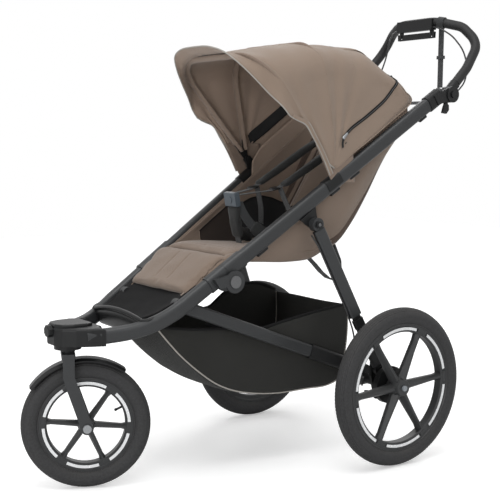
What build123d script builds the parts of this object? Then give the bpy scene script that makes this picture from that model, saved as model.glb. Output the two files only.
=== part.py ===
"""Three-wheel jogging stroller with a folding frame, a reclining seat and a canopy.

Millimetres. +Z is up, -Y is the travel direction, +X is the child's left.
Inside the functions Y is counted from the rear axle; export_node moves every
piece by centre_shift, so that the written parts have their origin on the floor
under the middle of the object.
"""
from build123d import *
import math
import os

# ---------------------------------------------------------------- driving sizes
centre_shift = 238.9          # from the rear axle to the middle of the length

rear_wheel_radius = 203.0     # 16 inch class
front_wheel_radius = 154.0    # 12 inch class
tyre_radius = 22.0            # of the round tyre section
wheel_plane = 307.0           # from the middle plane to a rear wheel's centre plane
spoke_count = 6
rear_spoke_turn = 34.0        # of one spoke from straight up, forwards, degrees
front_spoke_turn = 24.0
steer_axis_y = -770.0
trail = 40.0                  # wheel centre behind the steering axis
fork_turn = -24.4             # how far the front wheel is turned, degrees
steerer_radius = 11.0
fork_half_gap = 40.0          # from the wheel's plane to the inner face of a blade

tube_height = 37.0
tube_width = 26.0
tube_corner = 11.0
tube_wall = 2.0
tube_half_gap = 193.8         # tube centre to the middle plane, above the rear axle
tube_flare = 0.0844           # growth of that per millimetre of Y
tube_slope = 0.6617
tube_height_at_axle = 795.3
upper_tube_end_y = 221.0

fold_pivot = (-416.0, 488.0)
leg_pivot = (-183.0, 615.0)
bar_pivot = (-540.0, 436.0)
leg_foot = (-15.0, rear_wheel_radius + 37.0)
fold_gap = 0.6                # between the two halves of the folding hinge
side_gap = 0.5                # between plates that turn against each other
pin_clearance = 0.05          # radial, at every pin and shaft
soft_gap = 0.4                # between a soft part and its neighbours
hinge_radius = 27.0
hinge_offset = 26.0           # from the tube's centre line down to the fold pivot
sleeve_wall = 2.5
sleeve_length = 46.0
hinge_plate = 5.0
hinge_pin_radius = 5.0

bar_height = 32.0
bar_width = 20.0
bar_front_x = tube_half_gap - 71.8
bar_rear_x = tube_half_gap - 25.8
bar_rear_z = rear_wheel_radius + 21.0

leg_width = 34.0
leg_thickness = 18.0
slider_height = 24.6
slider_width = 10.6
leg_top_x = tube_half_gap + 3.2
leg_foot_x = wheel_plane - 55.0
link_share = 0.38             # share of the leg taken by the sprung link
suspension_travel = 8.0

axle_radius = 13.0
stub_radius = 7.0
axle_tube_end = wheel_plane - 75.0
axle_block_width = 8.0
drum_radius = 48.0
drum_width = 15.0
brake_arm_pivot = (-34.0, rear_wheel_radius - 27.0)
hub_radius = 19.0
hub_width = 44.0

handle_pivot = (250.0, 940.0)
handle_hub_radius = 21.0
handle_hub_width = 14.0
grip_radius = 12.8
handle_tube_radius = 10.5
panel_half = 68.0
handle_half = tube_half_gap + 12.2     # the handlebar's widest point, at its joints
handle_legs = (handle_half, handle_half - 6.0, handle_half - 22.0, handle_half - 70.0, panel_half + 4.0)
handle_leg_y = (250.0, 330.0, 390.0, 378.0, 344.0)
handle_leg_z = (940.0, 1012.0, 1082.0, 1128.0, 1146.0)
panel_depth = 16.0
panel_height = 30.0

canopy_hub = (-118.0, 768.0)
canopy_half = tube_half_gap + 2.2
canopy_skin = 3.0
canopy_corner = 88.0
bow_radius = 4.0
bow_inset = 8.1
canopy_plate = (canopy_half - 20.0, canopy_half - 15.0)
tang_thickness = 3.4
tang_length = 56.0

seat_half = tube_half_gap - 66.8
back_half = seat_half - 5.0
recline_pivot = (-62.0, 582.0)
recline_slope = 56.5
back_length = 350.0
recline_rod_radius = 5.0
leg_rest_half = tube_half_gap - 57.4
button_radius = 9.0

basket_skin = 3.0
basket_front_half = bar_front_x - 18.2    # at y -600
basket_rear_half = bar_rear_x - 14.8      # at y -20


# ---------------------------------------------------------------- small helpers
def side_x(y):
    """Tube centre's distance from the middle plane."""
    return tube_half_gap + tube_flare * y


def tube_z(y):
    """Height of the straight part of the side tubes."""
    return tube_height_at_axle + tube_slope * y


def tube_top(y):
    """Height of the upper face of the side tubes."""
    return tube_z(y) + tube_height / 2 / math.cos(math.atan(tube_slope))


# centres of the left front tube where it bends inwards and level, as X, Y, Z
front_curve = [(tube_half_gap + dx, y, z) for dx, y, z in (
    (-47.9, -560, 425.6), (-61.3, -600, 403), (-81.3, -640, 386.5), (-102.3, -680, 377), (-120.3, -722, 372))]
front_tube_end = (tube_half_gap - 129.8, -752, 370)


def front_x(y):
    """The left front tube's distance from the middle plane where it bends inwards."""
    line = sorted((p[1], p[0]) for p in front_curve)
    for (y0, x0), (y1, x1) in zip(line, line[1:]):
        if y <= y1:
            return x0 + (x1 - x0) * (y - y0) / (y1 - y0)
    return line[-1][1]


tube_angle = math.atan(tube_slope)
tube_along = (math.cos(tube_angle), math.sin(tube_angle))
tube_up = (-math.sin(tube_angle), math.cos(tube_angle))


def on_tube(y, raise_by=0.0, outward=0.0):
    """A point beside the straight part of the left tube."""
    return Vector(side_x(y) + outward, y + raise_by * tube_up[0], tube_z(y) + raise_by * tube_up[1])


def beside_tube(origin, pairs):
    """Points (y, z) given along and across the side tubes from an origin."""
    return [(origin[0] + a * tube_along[0] + b * tube_up[0], origin[1] + a * tube_along[1] + b * tube_up[1])
            for a, b in pairs]


def both(shape):
    """A piece and its mirror image on the other side."""
    return Compound(children=[*shape.solids(), *shape.mirror(Plane.YZ).solids()])


def group(*shapes):
    return Compound(children=[s for shape in shapes for s in shape.solids()])


def rod(start, end, radius):
    """A round bar between two points."""
    start, end = Vector(*start), Vector(*end)
    plane = Plane(origin=start, z_dir=(end - start).normalized())
    return extrude(plane * Circle(radius), (end - start).length)


def cross_rod(x0, x1, yz, radius):
    """A round bar along X."""
    return extrude(Plane(origin=(x0, *yz), x_dir=(0, 1, 0), z_dir=(1, 0, 0)) * Circle(radius), x1 - x0)


def side_plate(x0, x1, outline):
    """A plate across X, from its outline in (y, z)."""
    face = make_face(Polyline(*[(x0, *p) for p in outline], close=True))
    return extrude(face, x1 - x0, dir=(1, 0, 0))


def strip(x0, x1, path, thickness):
    """A flat panel across X that follows a line of (y, z) points."""
    upper, lower = [], []
    for i, (y, z) in enumerate(path):
        before, after = path[max(i - 1, 0)], path[min(i + 1, len(path) - 1)]
        run = math.hypot(after[0] - before[0], after[1] - before[1])
        ny, nz = -(after[1] - before[1]) / run, (after[0] - before[0]) / run
        upper.append((y + ny * thickness / 2, z + nz * thickness / 2))
        lower.append((y - ny * thickness / 2, z - nz * thickness / 2))
    return side_plate(x0, x1, upper + lower[::-1])


def beam(start, end, height, width, corner, wall=None):
    """A rounded rectangular tube; its height lies in the YZ plane."""
    start, end = Vector(*start), Vector(*end)
    along = (end - start).normalized()
    plane = Plane(origin=start, x_dir=Vector(1, 0, 0).cross(along), z_dir=along)
    section = RectangleRounded(height, width, corner)
    if wall:
        section -= RectangleRounded(height - 2 * wall, width - 2 * wall, corner - wall)
    return extrude(plane * section, (end - start).length)


def swept(points, radii, radius, inner=None):
    """A round bar or tube along straight runs joined by tangent arcs."""
    path = FilletPolyline(*points, radius=radii) if len(points) > 2 else Line(*points)
    plane = Plane(origin=path @ 0, z_dir=path % 0)
    section = Circle(radius) - Circle(inner) if inner else Circle(radius)
    return sweep(plane * section, path=path)


def run_radii(points, most=1e6):
    """Arc radius at each inner point: 0.45 of the shorter run over tan(half the turn)."""
    radii = []
    for a, b, c in zip(points, points[1:], points[2:]):
        first, second = Vector(*b) - Vector(*a), Vector(*c) - Vector(*b)
        turn = math.radians(first.get_angle(second))
        radii.append(min(most, 0.45 * min(first.length, second.length) / math.tan(turn / 2)))
    return radii


def export_node(name, shape):
    solids = shape.solids()
    moved = Pos(0, centre_shift, 0) * (Compound(children=solids) if len(solids) > 1 else solids[0])
    export_step(moved, os.path.join("parts", name + ".step"))


# ---------------------------------------------------------------- wheels
def tyre(radius):
    """Tyre in its own frame: centre at the origin, axle along X."""
    section = Plane.XY * Pos(0, radius - tyre_radius) * (Circle(tyre_radius) - Circle(tyre_radius - 3.5))
    rim_side = Pos(0, radius - 2 * tyre_radius) * Rectangle(2 * tyre_radius + 2, 15)
    return revolve(section - rim_side, Axis.X)


def rim(radius, hub, bore, spoke_root, spoke_tip):
    """Rim, six tapered spokes and hub, moulded in one."""
    bed = radius - 2 * tyre_radius
    ring = revolve(
        make_face(Polyline(
            (-13, bed + 6), (-13, bed - 13.5), (-9, bed - 17), (9, bed - 17),
            (13, bed - 13.5), (13, bed + 6), (9, bed + 7), (-9, bed + 7), close=True)), Axis.X)
    body = ring + cross_rod(-hub_width / 2, hub_width / 2, (0, 0), hub)
    for i in range(spoke_count):
        angle = 360 / spoke_count * i
        blade = make_face(Polyline(
            (0, -spoke_root / 2, hub - 4), (0, spoke_root / 2, hub - 4),
            (0, spoke_tip / 2, bed - 14), (0, -spoke_tip / 2, bed - 14), close=True))
        body += Rot(angle, 0, 0) * extrude(blade, 8, dir=(1, 0, 0), both=True)
    return body - cross_rod(-hub_width, hub_width, (0, 0), bore)


def reflectors(radius):
    """Six bright arcs on the rim's outer side."""
    bed = radius - 2 * tyre_radius
    pieces = []
    for i in range(spoke_count):
        arc = revolve(make_face(Polyline(
            (13.05, bed - 12), (13.05, bed - 5), (14.4, bed - 5), (14.4, bed - 12), close=True)), Axis.X, 44)
        pieces.append(Rot(360 / spoke_count * (i + 0.5) + 8, 0, 0) * arc)
    return group(*pieces)


def valve(radius):
    bed = radius - 2 * tyre_radius
    return rod((0, 0, bed - 17.4), (0, 0, bed - 36), 3.0)


front_place = Pos(0, steer_axis_y, front_wheel_radius) * Rot(0, 0, fork_turn) * Pos(0, trail, 0)


def front_wheel():
    return {
        "front_tyre": front_place * tyre(front_wheel_radius),
        "front_rim": front_place * Rot(front_spoke_turn, 0, 0) * rim(front_wheel_radius, 16, stub_radius + pin_clearance, 15, 11),
        "front_reflectors": front_place * Rot(front_spoke_turn, 0, 0) * reflectors(front_wheel_radius),
        "front_valve": front_place * Rot(front_spoke_turn - 90, 0, 0) * valve(front_wheel_radius),
    }


def rear_wheel(side):
    """side is 1 for the left wheel and -1 for the right one."""
    place = Pos(side * wheel_plane, 0, rear_wheel_radius) * Rot(0, 0, 0 if side > 0 else 180)
    button = cross_rod(hub_width / 2 - 6, hub_width / 2 + 5, (0, 0), 7.0)
    pocket = cross_rod(hub_width / 2 - 16, hub_width / 2 + 1, (0, 0), 7.0 + 0.4)
    return {
        "rear_tyre": place * tyre(rear_wheel_radius),
        "rear_rim": place * Rot(rear_spoke_turn, 0, 0) * (
            rim(rear_wheel_radius, hub_radius, stub_radius + pin_clearance, 17, 12) - pocket),
        "rear_reflectors": place * Rot(rear_spoke_turn, 0, 0) * reflectors(rear_wheel_radius),
        "hub_button": place * button,
    }


# ---------------------------------------------------------------- side frames
def front_run(grow):
    """The left front tube's outer form, made bigger or smaller all round."""
    end_y = fold_pivot[0] + hinge_offset * tube_up[0] - 6
    end = on_tube(end_y)
    leave = on_tube(front_curve[0][1] + 22)
    along = (leave - end).normalized()
    bend = Spline(leave, *front_curve, front_tube_end, tangents=(along, Vector(-0.30, -1, -0.05)))
    path = Line(end, leave) + bend
    plane = Plane(origin=end, x_dir=Vector(1, 0, 0).cross(along), z_dir=along)
    section = RectangleRounded(tube_height + 2 * grow, tube_width + 2 * grow, tube_corner + grow)
    return sweep(plane * section, path=path)


def front_tubes():
    return both(front_run(0) - front_run(-tube_wall))


def upper_tubes():
    start_y = fold_pivot[0] + hinge_offset * tube_up[0] + 6
    return both(beam(on_tube(start_y), on_tube(upper_tube_end_y), tube_height, tube_width, tube_corner, tube_wall))


# from the tube's centre to a hinge cheek, clear of both sleeves although the tubes splay
cheek_near = tube_width / 2 + sleeve_wall + side_gap + hinge_radius * tube_flare


def hinge_shell(forward):
    """Half of the left folding hinge: a sleeve on the tube, and a cheek beside both sleeves.

    The front frame's cheek is outboard of the sleeves and the upper frame's is inboard.
    """
    foot = fold_pivot[0] + hinge_offset * tube_up[0]
    turn = -1 if forward else 1
    sleeve = beam(on_tube(foot + turn * fold_gap / 2), on_tube(foot + turn * sleeve_length),
                  tube_height + 2 * sleeve_wall, tube_width + 2 * sleeve_wall, tube_corner + 2)
    x = side_x(fold_pivot[0])
    face = tube_width / 2 + sleeve_wall
    near, far = cheek_near, cheek_near + hinge_plate
    if forward:
        cheek = cross_rod(x + near, x + far, fold_pivot, hinge_radius)
        pad_x = (x + face - 4, x + far)
    else:
        cheek = cross_rod(x - far, x - near, fold_pivot, hinge_radius)
        pad_x = (x - far, x - face + 4)
    pad = side_plate(*pad_x, beside_tube(fold_pivot, [
        (turn * 3, 9), (turn * 3, 24), (turn * 44, 40), (turn * 44, 12), (turn * 24, 4)]))
    tube_hole = beam(on_tube(foot - 2 * sleeve_length), on_tube(foot + 2 * sleeve_length),
                     tube_height + 2 * pin_clearance, tube_width + 2 * pin_clearance, tube_corner)
    bore = cross_rod(x - 40, x + 40, fold_pivot, hinge_pin_radius + (0.02 if forward else pin_clearance))
    return (sleeve + pad - tube_hole) + cheek - bore


def fold_pins():
    """Pins of the folding hinges, each with its round outer badge, and pins of the lower bars."""
    x = side_x(fold_pivot[0])
    far = cheek_near + hinge_plate
    pin = (cross_rod(x - far - 2, x + far + 1, fold_pivot, hinge_pin_radius)
           + cross_rod(x - far - 3.5, x - far - side_gap, fold_pivot, 8.0)
           + cross_rod(x + far + 0.05, x + far + 2.5, fold_pivot, 15.0))
    tube_face = side_x(bar_pivot[0]) - tube_width / 2
    bar_pin = (cross_rod(bar_front_x - 11, tube_face - 0.9, bar_pivot, 5)
               + cross_rod(bar_front_x - 14, bar_front_x - 10.4, bar_pivot, 9)
               + cross_rod(bar_front_x + 11, tube_face - 0.9, bar_pivot, 9))
    return group(both(pin), both(bar_pin))


def leg_bracket():
    """Plate under the upper tube that carries the rear leg's top pin."""
    x1 = leg_top_x - leg_thickness / 2 - side_gap
    x0 = x1 - 5
    drop = (tube_z(leg_pivot[0]) - leg_pivot[1]) * tube_along[0]
    outline = beside_tube(leg_pivot, [
        (-28, drop - tube_height / 2 + 2), (28, drop - tube_height / 2 + 2), (11, -8), (-11, -8)])
    plate = side_plate(x0, x1, outline) + cross_rod(x0, x1, leg_pivot, 13.0)
    plate -= beam(on_tube(-300), on_tube(0), tube_height, tube_width, tube_corner)
    outer = leg_top_x + leg_thickness / 2
    pin = cross_rod(x0, outer + 1.5, leg_pivot, 5.0)
    head = cross_rod(outer + side_gap, outer + 5, leg_pivot, 9.0)
    return both(plate + pin + head)


# ---------------------------------------------------------------- front head and fork
def front_head():
    """Nose that joins both front tubes and holds the steerer, with a raised top and a boss below."""
    inner, outer = front_curve[-1][0] - 14, front_curve[-1][0] + 18
    left = [(17, -813), (42, -803), (64, -779), (outer - 12, -748), (outer, -717), (inner, -717), (inner - 13, -704)]
    plan = make_face(Polyline(*[(x, y, 351.5) for x, y in left], *[(-x, y, 351.5) for x, y in reversed(left)],
                              close=True))
    body = extrude(plan, 42, dir=(0, 0, 1))
    body = fillet(body.edges().filter_by(Plane.XY).group_by(Axis.Z)[-1], 7)
    raised = [(15, -811), (34, -800), (44, -776), (44, -738), (34, -722)]
    top = make_face(Polyline(*[(x, y, 380) for x, y in raised], *[(-x, y, 380) for x, y in reversed(raised)],
                             close=True))
    top = extrude(top, 21, dir=(0, 0, 1))
    top = fillet(top.edges().filter_by(Plane.XY).group_by(Axis.Z)[-1], 5)
    socket = front_run(pin_clearance)
    body = body + top - socket - socket.mirror(Plane.YZ)
    boss = extrude(Plane(origin=(0, steer_axis_y, 338)) * Circle(32), 14)
    bore = extrude(Plane(origin=(0, steer_axis_y, 300)) * Circle(steerer_radius + pin_clearance), 95)
    lock_hole = Pos(0, -814, 384) * Rot(-90, 0, 0) * extrude(Circle(6 + pin_clearance), 16)
    return body + boss - bore - lock_hole


fork_place = Pos(0, steer_axis_y, 0) * Rot(0, 0, fork_turn)


def fork():
    """Steerer, crown and two bent blades, in the fork's own turned frame."""
    steerer = extrude(Plane(origin=(0, 0, 319.5)) * Circle(steerer_radius), 74.5)
    collar = extrude(Plane(origin=(0, 0, 331)) * Circle(17), 6.5)
    crown = extrude(Plane(origin=(0, 0, 319.5)) * RectangleRounded(2 * fork_half_gap + 14, 32, 6), 12)
    x0, x1 = fork_half_gap, fork_half_gap + 7
    blade = strip(x0, x1, [(0, 331), (0, 276), (8, 250), (trail, front_wheel_radius)], 27)
    blade += cross_rod(x0, x1, (trail, front_wheel_radius), 15)
    blade -= cross_rod(x0 - 1, x1 + 1, (trail, front_wheel_radius), stub_radius + 0.02)
    whole = steerer + collar + crown + blade + blade.mirror(Plane.YZ)
    return fork_place * whole


def front_axle():
    axle = cross_rod(-fork_half_gap - 7, fork_half_gap + 7, (trail, front_wheel_radius), stub_radius)
    caps = [cross_rod(a, b, (trail, front_wheel_radius), 10) for a, b in
            ((fork_half_gap + 7, fork_half_gap + 12), (-fork_half_gap - 12, -fork_half_gap - 7))]
    spacers = [cross_rod(a, b, (trail, front_wheel_radius), 10) for a, b in
               ((hub_width / 2 + 0.4, fork_half_gap - 0.05), (0.05 - fork_half_gap, -hub_width / 2 - 0.4))]
    return fork_place * (axle + caps + spacers)


def fender():
    """Curved mudguard under the crown, bent round the wheel's centre."""
    centre = (trail, front_wheel_radius)
    inner, outer = front_wheel_radius + 5, front_wheel_radius + 8
    section = make_face(Polyline(
        (-25, inner - 5), (-25, inner - 2), (-16, outer), (16, outer), (25, inner - 2),
        (25, inner - 5), (15, inner), (-15, inner), close=True))
    arc = Rot(54, 0, 0) * revolve(section, Axis.X, 90)
    arc = Pos(0, *centre) * arc
    stud = extrude(Plane(origin=(0, 6, 311)) * Circle(9), 8.4)
    clear = extrude(Plane(origin=(0, 0, 319.45)) * Circle(60), 20)
    return fork_place * ((arc + stud) - clear)


def swivel_lock():
    """Faceted knob on the nose: turns a quarter to drop its pin into the steerer."""
    place = Pos(0, -813.4, 384) * Rot(90, 0, 0)
    cap = place * extrude(RegularPolygon(15, 8, rotation=22.5), 11)
    cap = fillet(cap.edges().filter_by(Plane.XZ).group_by(Axis.Y)[0], 3)
    return cap + Pos(0, -814, 384) * Rot(-90, 0, 0) * extrude(Circle(6), 12)


# ---------------------------------------------------------------- lower frame
def bar_point(y):
    """Centre of the left lower bar, which runs from its pivot to the axle."""
    share = (y - bar_pivot[0]) / -bar_pivot[0]
    return Vector(bar_front_x + (bar_rear_x - bar_front_x) * share, y,
                  bar_pivot[1] + (bar_rear_z - bar_pivot[1]) * share)


def lower_bars():
    bar = beam(bar_point(bar_pivot[0] + 4), bar_point(-10), bar_height, bar_width, 8, 2)
    eye = cross_rod(bar_front_x - 10, bar_front_x + 10.5, bar_pivot, 16)
    bar = bar + eye - cross_rod(bar_front_x - 20, bar_front_x + 20, bar_pivot, 5 + pin_clearance)
    return both(bar)


def axle_tube():
    tube = cross_rod(-axle_tube_end, axle_tube_end, (0, rear_wheel_radius), axle_radius)
    return tube - cross_rod(-axle_tube_end, axle_tube_end, (0, rear_wheel_radius), axle_radius - 2.5)


def axle_castings():
    """Castings on the axle tube with long sleeves that take the ends of the lower bars."""
    x = bar_rear_x
    h = rear_wheel_radius
    casting = side_plate(x - 15, x + 15, [
        (-26, h - 17), (16, h - 17), (20, h + 29), (-8, h + 43), (-26, h + 47)])
    casting += beam(bar_point(-165), bar_point(-14), bar_height + 5, bar_width + 5, 9)
    casting -= beam(bar_point(-200), bar_point(-9.5), bar_height + 0.1, bar_width + 0.1, 8)
    return both(casting - cross_rod(0, axle_tube_end, (0, rear_wheel_radius), axle_radius + 0.02))


def axle_ends():
    """End plates of the axle, each with the stub that its wheel turns on."""
    h = rear_wheel_radius
    plate = side_plate(axle_tube_end, axle_tube_end + axle_block_width,
                       [(-18, h - 23), (20, h - 23), (22, h + 23), (-2, h + 59), (-28, h + 59), (-30, h + 19)])
    stub = cross_rod(axle_tube_end + axle_block_width - 1, wheel_plane + hub_width / 2 - 17,
                     (0, rear_wheel_radius), stub_radius)
    return both(plate + stub)


def brake_drums():
    """Drums on the axle's stubs, each with the pin of its lever."""
    x0 = wheel_plane - hub_width / 2 - 3 - drum_width
    drum = cross_rod(x0, x0 + drum_width, (0, rear_wheel_radius), drum_radius)
    drum += cross_rod(x0 - 7, x0 + 1, brake_arm_pivot, 4) + cross_rod(x0 - 7, x0 - 5, brake_arm_pivot, 6.5)
    drum -= cross_rod(x0 - 1, x0 + drum_width + 1, (0, rear_wheel_radius), stub_radius + 0.02)
    return both(drum)


def brake_arms():
    """Levers on the drums that the hand brake's cables pull."""
    x1 = wheel_plane - hub_width / 2 - 3 - drum_width - side_gap
    z = brake_arm_pivot[1]
    arm = strip(x1 - 4, x1, [brake_arm_pivot, (-52, z + 10), (-74, z + 14)], 12)
    arm += cross_rod(x1 - 4, x1, brake_arm_pivot, 8)
    arm -= cross_rod(x1 - 9, x1 + 9, brake_arm_pivot, 4 + pin_clearance)
    return both(arm)


def parking_brake():
    """Foot bar behind the axle, on two ears that clip round the axle tube."""
    ears = []
    for x in (-96, 84):
        ear = strip(x, x + 12, [(0, rear_wheel_radius), (46, rear_wheel_radius + 10)], 20)
        ear += cross_rod(x, x + 12, (0, rear_wheel_radius), axle_radius + 5)
        ears.append(ear - cross_rod(x - 1, x + 13, (0, rear_wheel_radius), axle_radius + pin_clearance))
    foot = cross_rod(-110, 110, (54, rear_wheel_radius + 11), 10)
    return ears[0] + ears[1] + foot


# ---------------------------------------------------------------- rear legs
cable_radius = 2.2
leg_top = Vector(leg_top_x, *leg_pivot)
leg_end = Vector(leg_foot_x, *leg_foot)
leg_run = leg_end - leg_top
leg_angle = math.degrees(math.atan2(leg_foot[1] - leg_pivot[1], leg_foot[0] - leg_pivot[0]))


def leg_at(share):
    return leg_top + leg_run * share


def rear_legs():
    tube = beam(leg_at(0.035), leg_at(1 - link_share), leg_width, leg_thickness, 7)
    socket = beam(leg_at(0.40), leg_at(1 - link_share + 0.05), slider_height + 0.4, slider_width + 0.4, 4)
    eye = cross_rod(leg_top_x - leg_thickness / 2, leg_top_x + leg_thickness / 2, leg_pivot, leg_width / 2)
    leg = tube + eye - cross_rod(leg_top_x - 30, leg_top_x + 30, leg_pivot, 5 + pin_clearance) - socket
    return both(leg)


def suspension_link():
    """Sprung lower end of the left leg, sliding in the leg on a rubber block; the right one is its mirror."""
    bottom = 1 - link_share
    slider = beam(leg_at(0.52), leg_at(bottom + 0.11), slider_height, slider_width, 4)
    body = beam(leg_at(bottom + 0.08), leg_at(0.97), leg_width - 6, 12, 5)
    eye = cross_rod(leg_foot_x - 5, leg_foot_x + 5, leg_foot, 15)
    bolt = cross_rod(leg_foot_x + 4, leg_foot_x + 8, leg_foot, 8)
    block = beam(leg_at(bottom + 0.024), leg_at(bottom + 0.079), leg_width - 3, leg_thickness - 2, 6)
    block -= beam(leg_at(bottom), leg_at(bottom + 0.11), slider_height + 0.2, slider_width + 0.2, 4)
    return group(slider + body + eye + bolt, block)


def leg_cable():
    """Brake cable down the front of the leg to the drum's lever, with its adjuster."""
    out = Vector(0, leg_run.Z, -leg_run.Y).normalized() * (leg_width / 2 + cable_radius + 0.3)
    x, h = leg_foot_x + 4, rear_wheel_radius
    points = [leg_at(0.04) + out * 1.3, leg_at(0.12) + out, leg_at(0.55) + out, leg_at(0.70) + out * 1.3,
              Vector(x - 6, -90, h + 59), Vector(x, -76, h + 33), Vector(x, -75, h + 3)]
    cable = swept(points, run_radii(points, 120), cable_radius)
    adjuster = rod((x, -75.5, h + 25), (x, -75.1, h + 7), 4)
    return both(cable + adjuster)


# ---------------------------------------------------------------- handlebar
def handle_path(start_share):
    """Corner points of the handlebar, from a share of the way along its first run."""
    left = [Vector(*p) for p in zip(handle_legs, handle_leg_y, handle_leg_z)]
    left[0] = left[0] + (left[1] - left[0]) * start_share
    return left + [Vector(-p.X, p.Y, p.Z) for p in reversed(left)]


handle_radii = [120, 60, 45, 110, 110, 45, 60, 120]


def handlebar_tube():
    return swept(handle_path(0.27), handle_radii, handle_tube_radius - 0.05, handle_tube_radius - 2.5)


def handlebar_grip():
    return swept(handle_path(0.42), handle_radii, grip_radius, handle_tube_radius)


def handle_sockets():
    """Fixed halves of the handle joints, on the ends of the upper tubes."""
    x = side_x(handle_pivot[0])
    disc = cross_rod(x + 2, x + 2 + handle_hub_width, handle_pivot, handle_hub_radius)
    neck = beam(on_tube(upper_tube_end_y - 45), on_tube(upper_tube_end_y - 8),
                tube_height + 2 * sleeve_wall, tube_width + 2 * sleeve_wall, tube_corner + 2)
    arm = side_plate(x + 2, x + handle_hub_width - 1, beside_tube(handle_pivot, [
        (-58, 4), (-58, 32), (-20, 26), (0, 20), (0, -20), (-34, -2)]))
    hole = beam(on_tube(upper_tube_end_y - 90), on_tube(upper_tube_end_y + 0.5),
                tube_height + 2 * pin_clearance, tube_width + 2 * pin_clearance, tube_corner)
    bore = cross_rod(x - 40, x + 40, handle_pivot, 5 + pin_clearance)
    return both((neck + arm + disc) - hole - bore)


def handle_hubs():
    """Turning halves of the handle joints, with the stems that hold the handlebar."""
    x = side_x(handle_pivot[0])
    x0, x1 = x - handle_hub_width, x + 2 - side_gap
    y, z = handle_pivot
    start, bend = handle_path(0)[:2]
    disc = cross_rod(x0, x1, handle_pivot, handle_hub_radius)
    stem = rod(start, start + (bend - start) * 0.4, handle_tube_radius + 4)
    stem -= side_plate(x1, x1 + 60, [(150, 800), (400, 800), (400, 1100), (150, 1100)])
    hub = disc + stem - rod(start + (bend - start) * 0.265, start + (bend - start) * 0.5, handle_tube_radius)
    hub -= side_plate(x - 8.3, x - 0.7, [(y - 12.4, z - 4), (y - 1.6, z - 4), (y - 1.6, z - 30), (y - 12.4, z - 30)])
    socket_face = x + 2 + handle_hub_width
    return both(hub + cross_rod(x0 + 2, socket_face + 2, handle_pivot, 5)
                + cross_rod(socket_face + 0.4, socket_face + 4, handle_pivot, 9))


def handle_trigger():
    """Squeeze trigger under the left handle joint, sliding in its hub; the right one is its mirror."""
    x = side_x(handle_pivot[0])
    y, z = handle_pivot
    tongue = [(y - 12, z - 9), (y - 2, z - 9), (y - 2, z - 24.5)]
    pull = [(y + 2, z - 27), (y + 3, z - 40), (y - 6, z - 50), (y - 20, z - 48), (y - 16, z - 34), (y - 12, z - 24.5)]
    return side_plate(x - 8, x - 1, tongue + pull)


def brake_panel():
    """Flat housing of the hand brake, clipped on the middle of the bar."""
    y, z = handle_leg_y[4], handle_leg_z[4]
    body = side_plate(-panel_half, panel_half, [
        (y - panel_depth, z + 8), (y - panel_depth, z - panel_height + 8),
        (y + 2, z - panel_height + 8), (y + 4, z - grip_radius + 2), (y + 4, z + 8)])
    body -= swept(handle_path(0.42), handle_radii, grip_radius + pin_clearance)
    for x in (panel_half - 12, 6 - panel_half):
        lug = side_plate(x, x + 6, [(y - 11, z - 18), (y + 2, z - 18), (y - 1, z - 38), (y - 9, z - 38)])
        body += lug - cross_rod(x - 1, x + 7, (y - 5, z - 31), 2 + pin_clearance)
    return body


def brake_bail():
    """Thin bar under the housing that pulls both brake cables when squeezed."""
    y, z = handle_leg_y[4] - 5, handle_leg_z[4] - 31
    pin = cross_rod(-panel_half - 4, panel_half + 4, (y, z), 2)
    blade = side_plate(-panel_half + 13, panel_half - 13, [(y - 3, z + 3), (y + 3, z + 3), (y + 2, z - 12), (y - 2, z - 12)])
    arm = side_plate(panel_half - 4.5, panel_half + 3, [(y - 4, z + 4), (y + 4, z + 4), (y + 3, z - 13), (y - 3, z - 13)])
    tip = side_plate(-panel_half, panel_half, [(y - 3, z - 9.3), (y + 3, z - 9.3), (y + 3, z - 13.5), (y - 3, z - 13.5)])
    return pin + blade + arm + arm.mirror(Plane.YZ) + tip


def handlebar_cables():
    """Brake cables from the housing, hanging round to the handle joints."""
    half = handle_half
    points = [(panel_half + 0.4, 334, 1131), (panel_half + 24, 336, 1126), (half - 82, 352, 1104),
              (half - 56, 368, 1066), (half - 36, 366, 1020), (half - 20, 340, 976), (half - 14, 306, 950),
              (half - 16, 276, 944)]
    return both(swept(points, run_radii(points, 90), cable_radius))


def wrist_strap():
    """Webbing loop hung from the bar beside the brake housing, with its slider."""
    path = FilletPolyline(*handle_path(0.27), radius=handle_radii)
    shares = [0.3 + 0.002 * i for i in range(100)]
    at = min(shares, key=lambda t: abs((path @ t).X - (panel_half + 15)))
    centre = path @ at
    collar = extrude(Plane(origin=centre, z_dir=path % at) * (Circle(grip_radius + 3) - Circle(grip_radius + 0.7)), 9, both=True)
    x, y, z = centre.X, centre.Y, centre.Z - grip_radius - 1.9
    web = side_plate(x - 9, x + 9, [(y - 1.2, z), (y + 1.2, z), (y + 1.2, z - 162), (y - 1.2, z - 162)])
    slider = side_plate(x - 12, x + 12, [(y - 4, z - 75), (y + 4, z - 75), (y + 4, z - 84), (y - 4, z - 84)])
    return collar + web + slider


# ---------------------------------------------------------------- canopy
def arch_face(angle, foot, top, half, corner, inset):
    """Closed thin arch in the plane through the hub's axis at this angle."""
    a = math.radians(angle)
    plane = Plane(origin=(0, *canopy_hub), x_dir=(1, 0, 0), z_dir=(0, -math.sin(a), math.cos(a)))
    outer = arch_wire(foot, top, half, corner)
    inner = arch_wire(foot, top - inset, half - inset, corner - inset)
    ends = [Line(outer @ 0, inner @ 0), Line(outer @ 1, inner @ 1)]
    return plane * make_face([*outer.edges(), *inner.edges(), *ends])


def arch_wire(foot, top, half, corner):
    return FilletPolyline((half, foot), (half, top), (-half, top), (-half, foot), radius=corner)


# angle, foot and top reach of the canopy's stations, from its front bow to its back edge
canopy_stations = {"front": (132.0, 24.0, 352.0), "crest": (100.0, 20.0, 300.0),
                   "middle": (84.0, 14.0, 298.0), "back": (66.0, 14.0, 312.0)}


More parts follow.
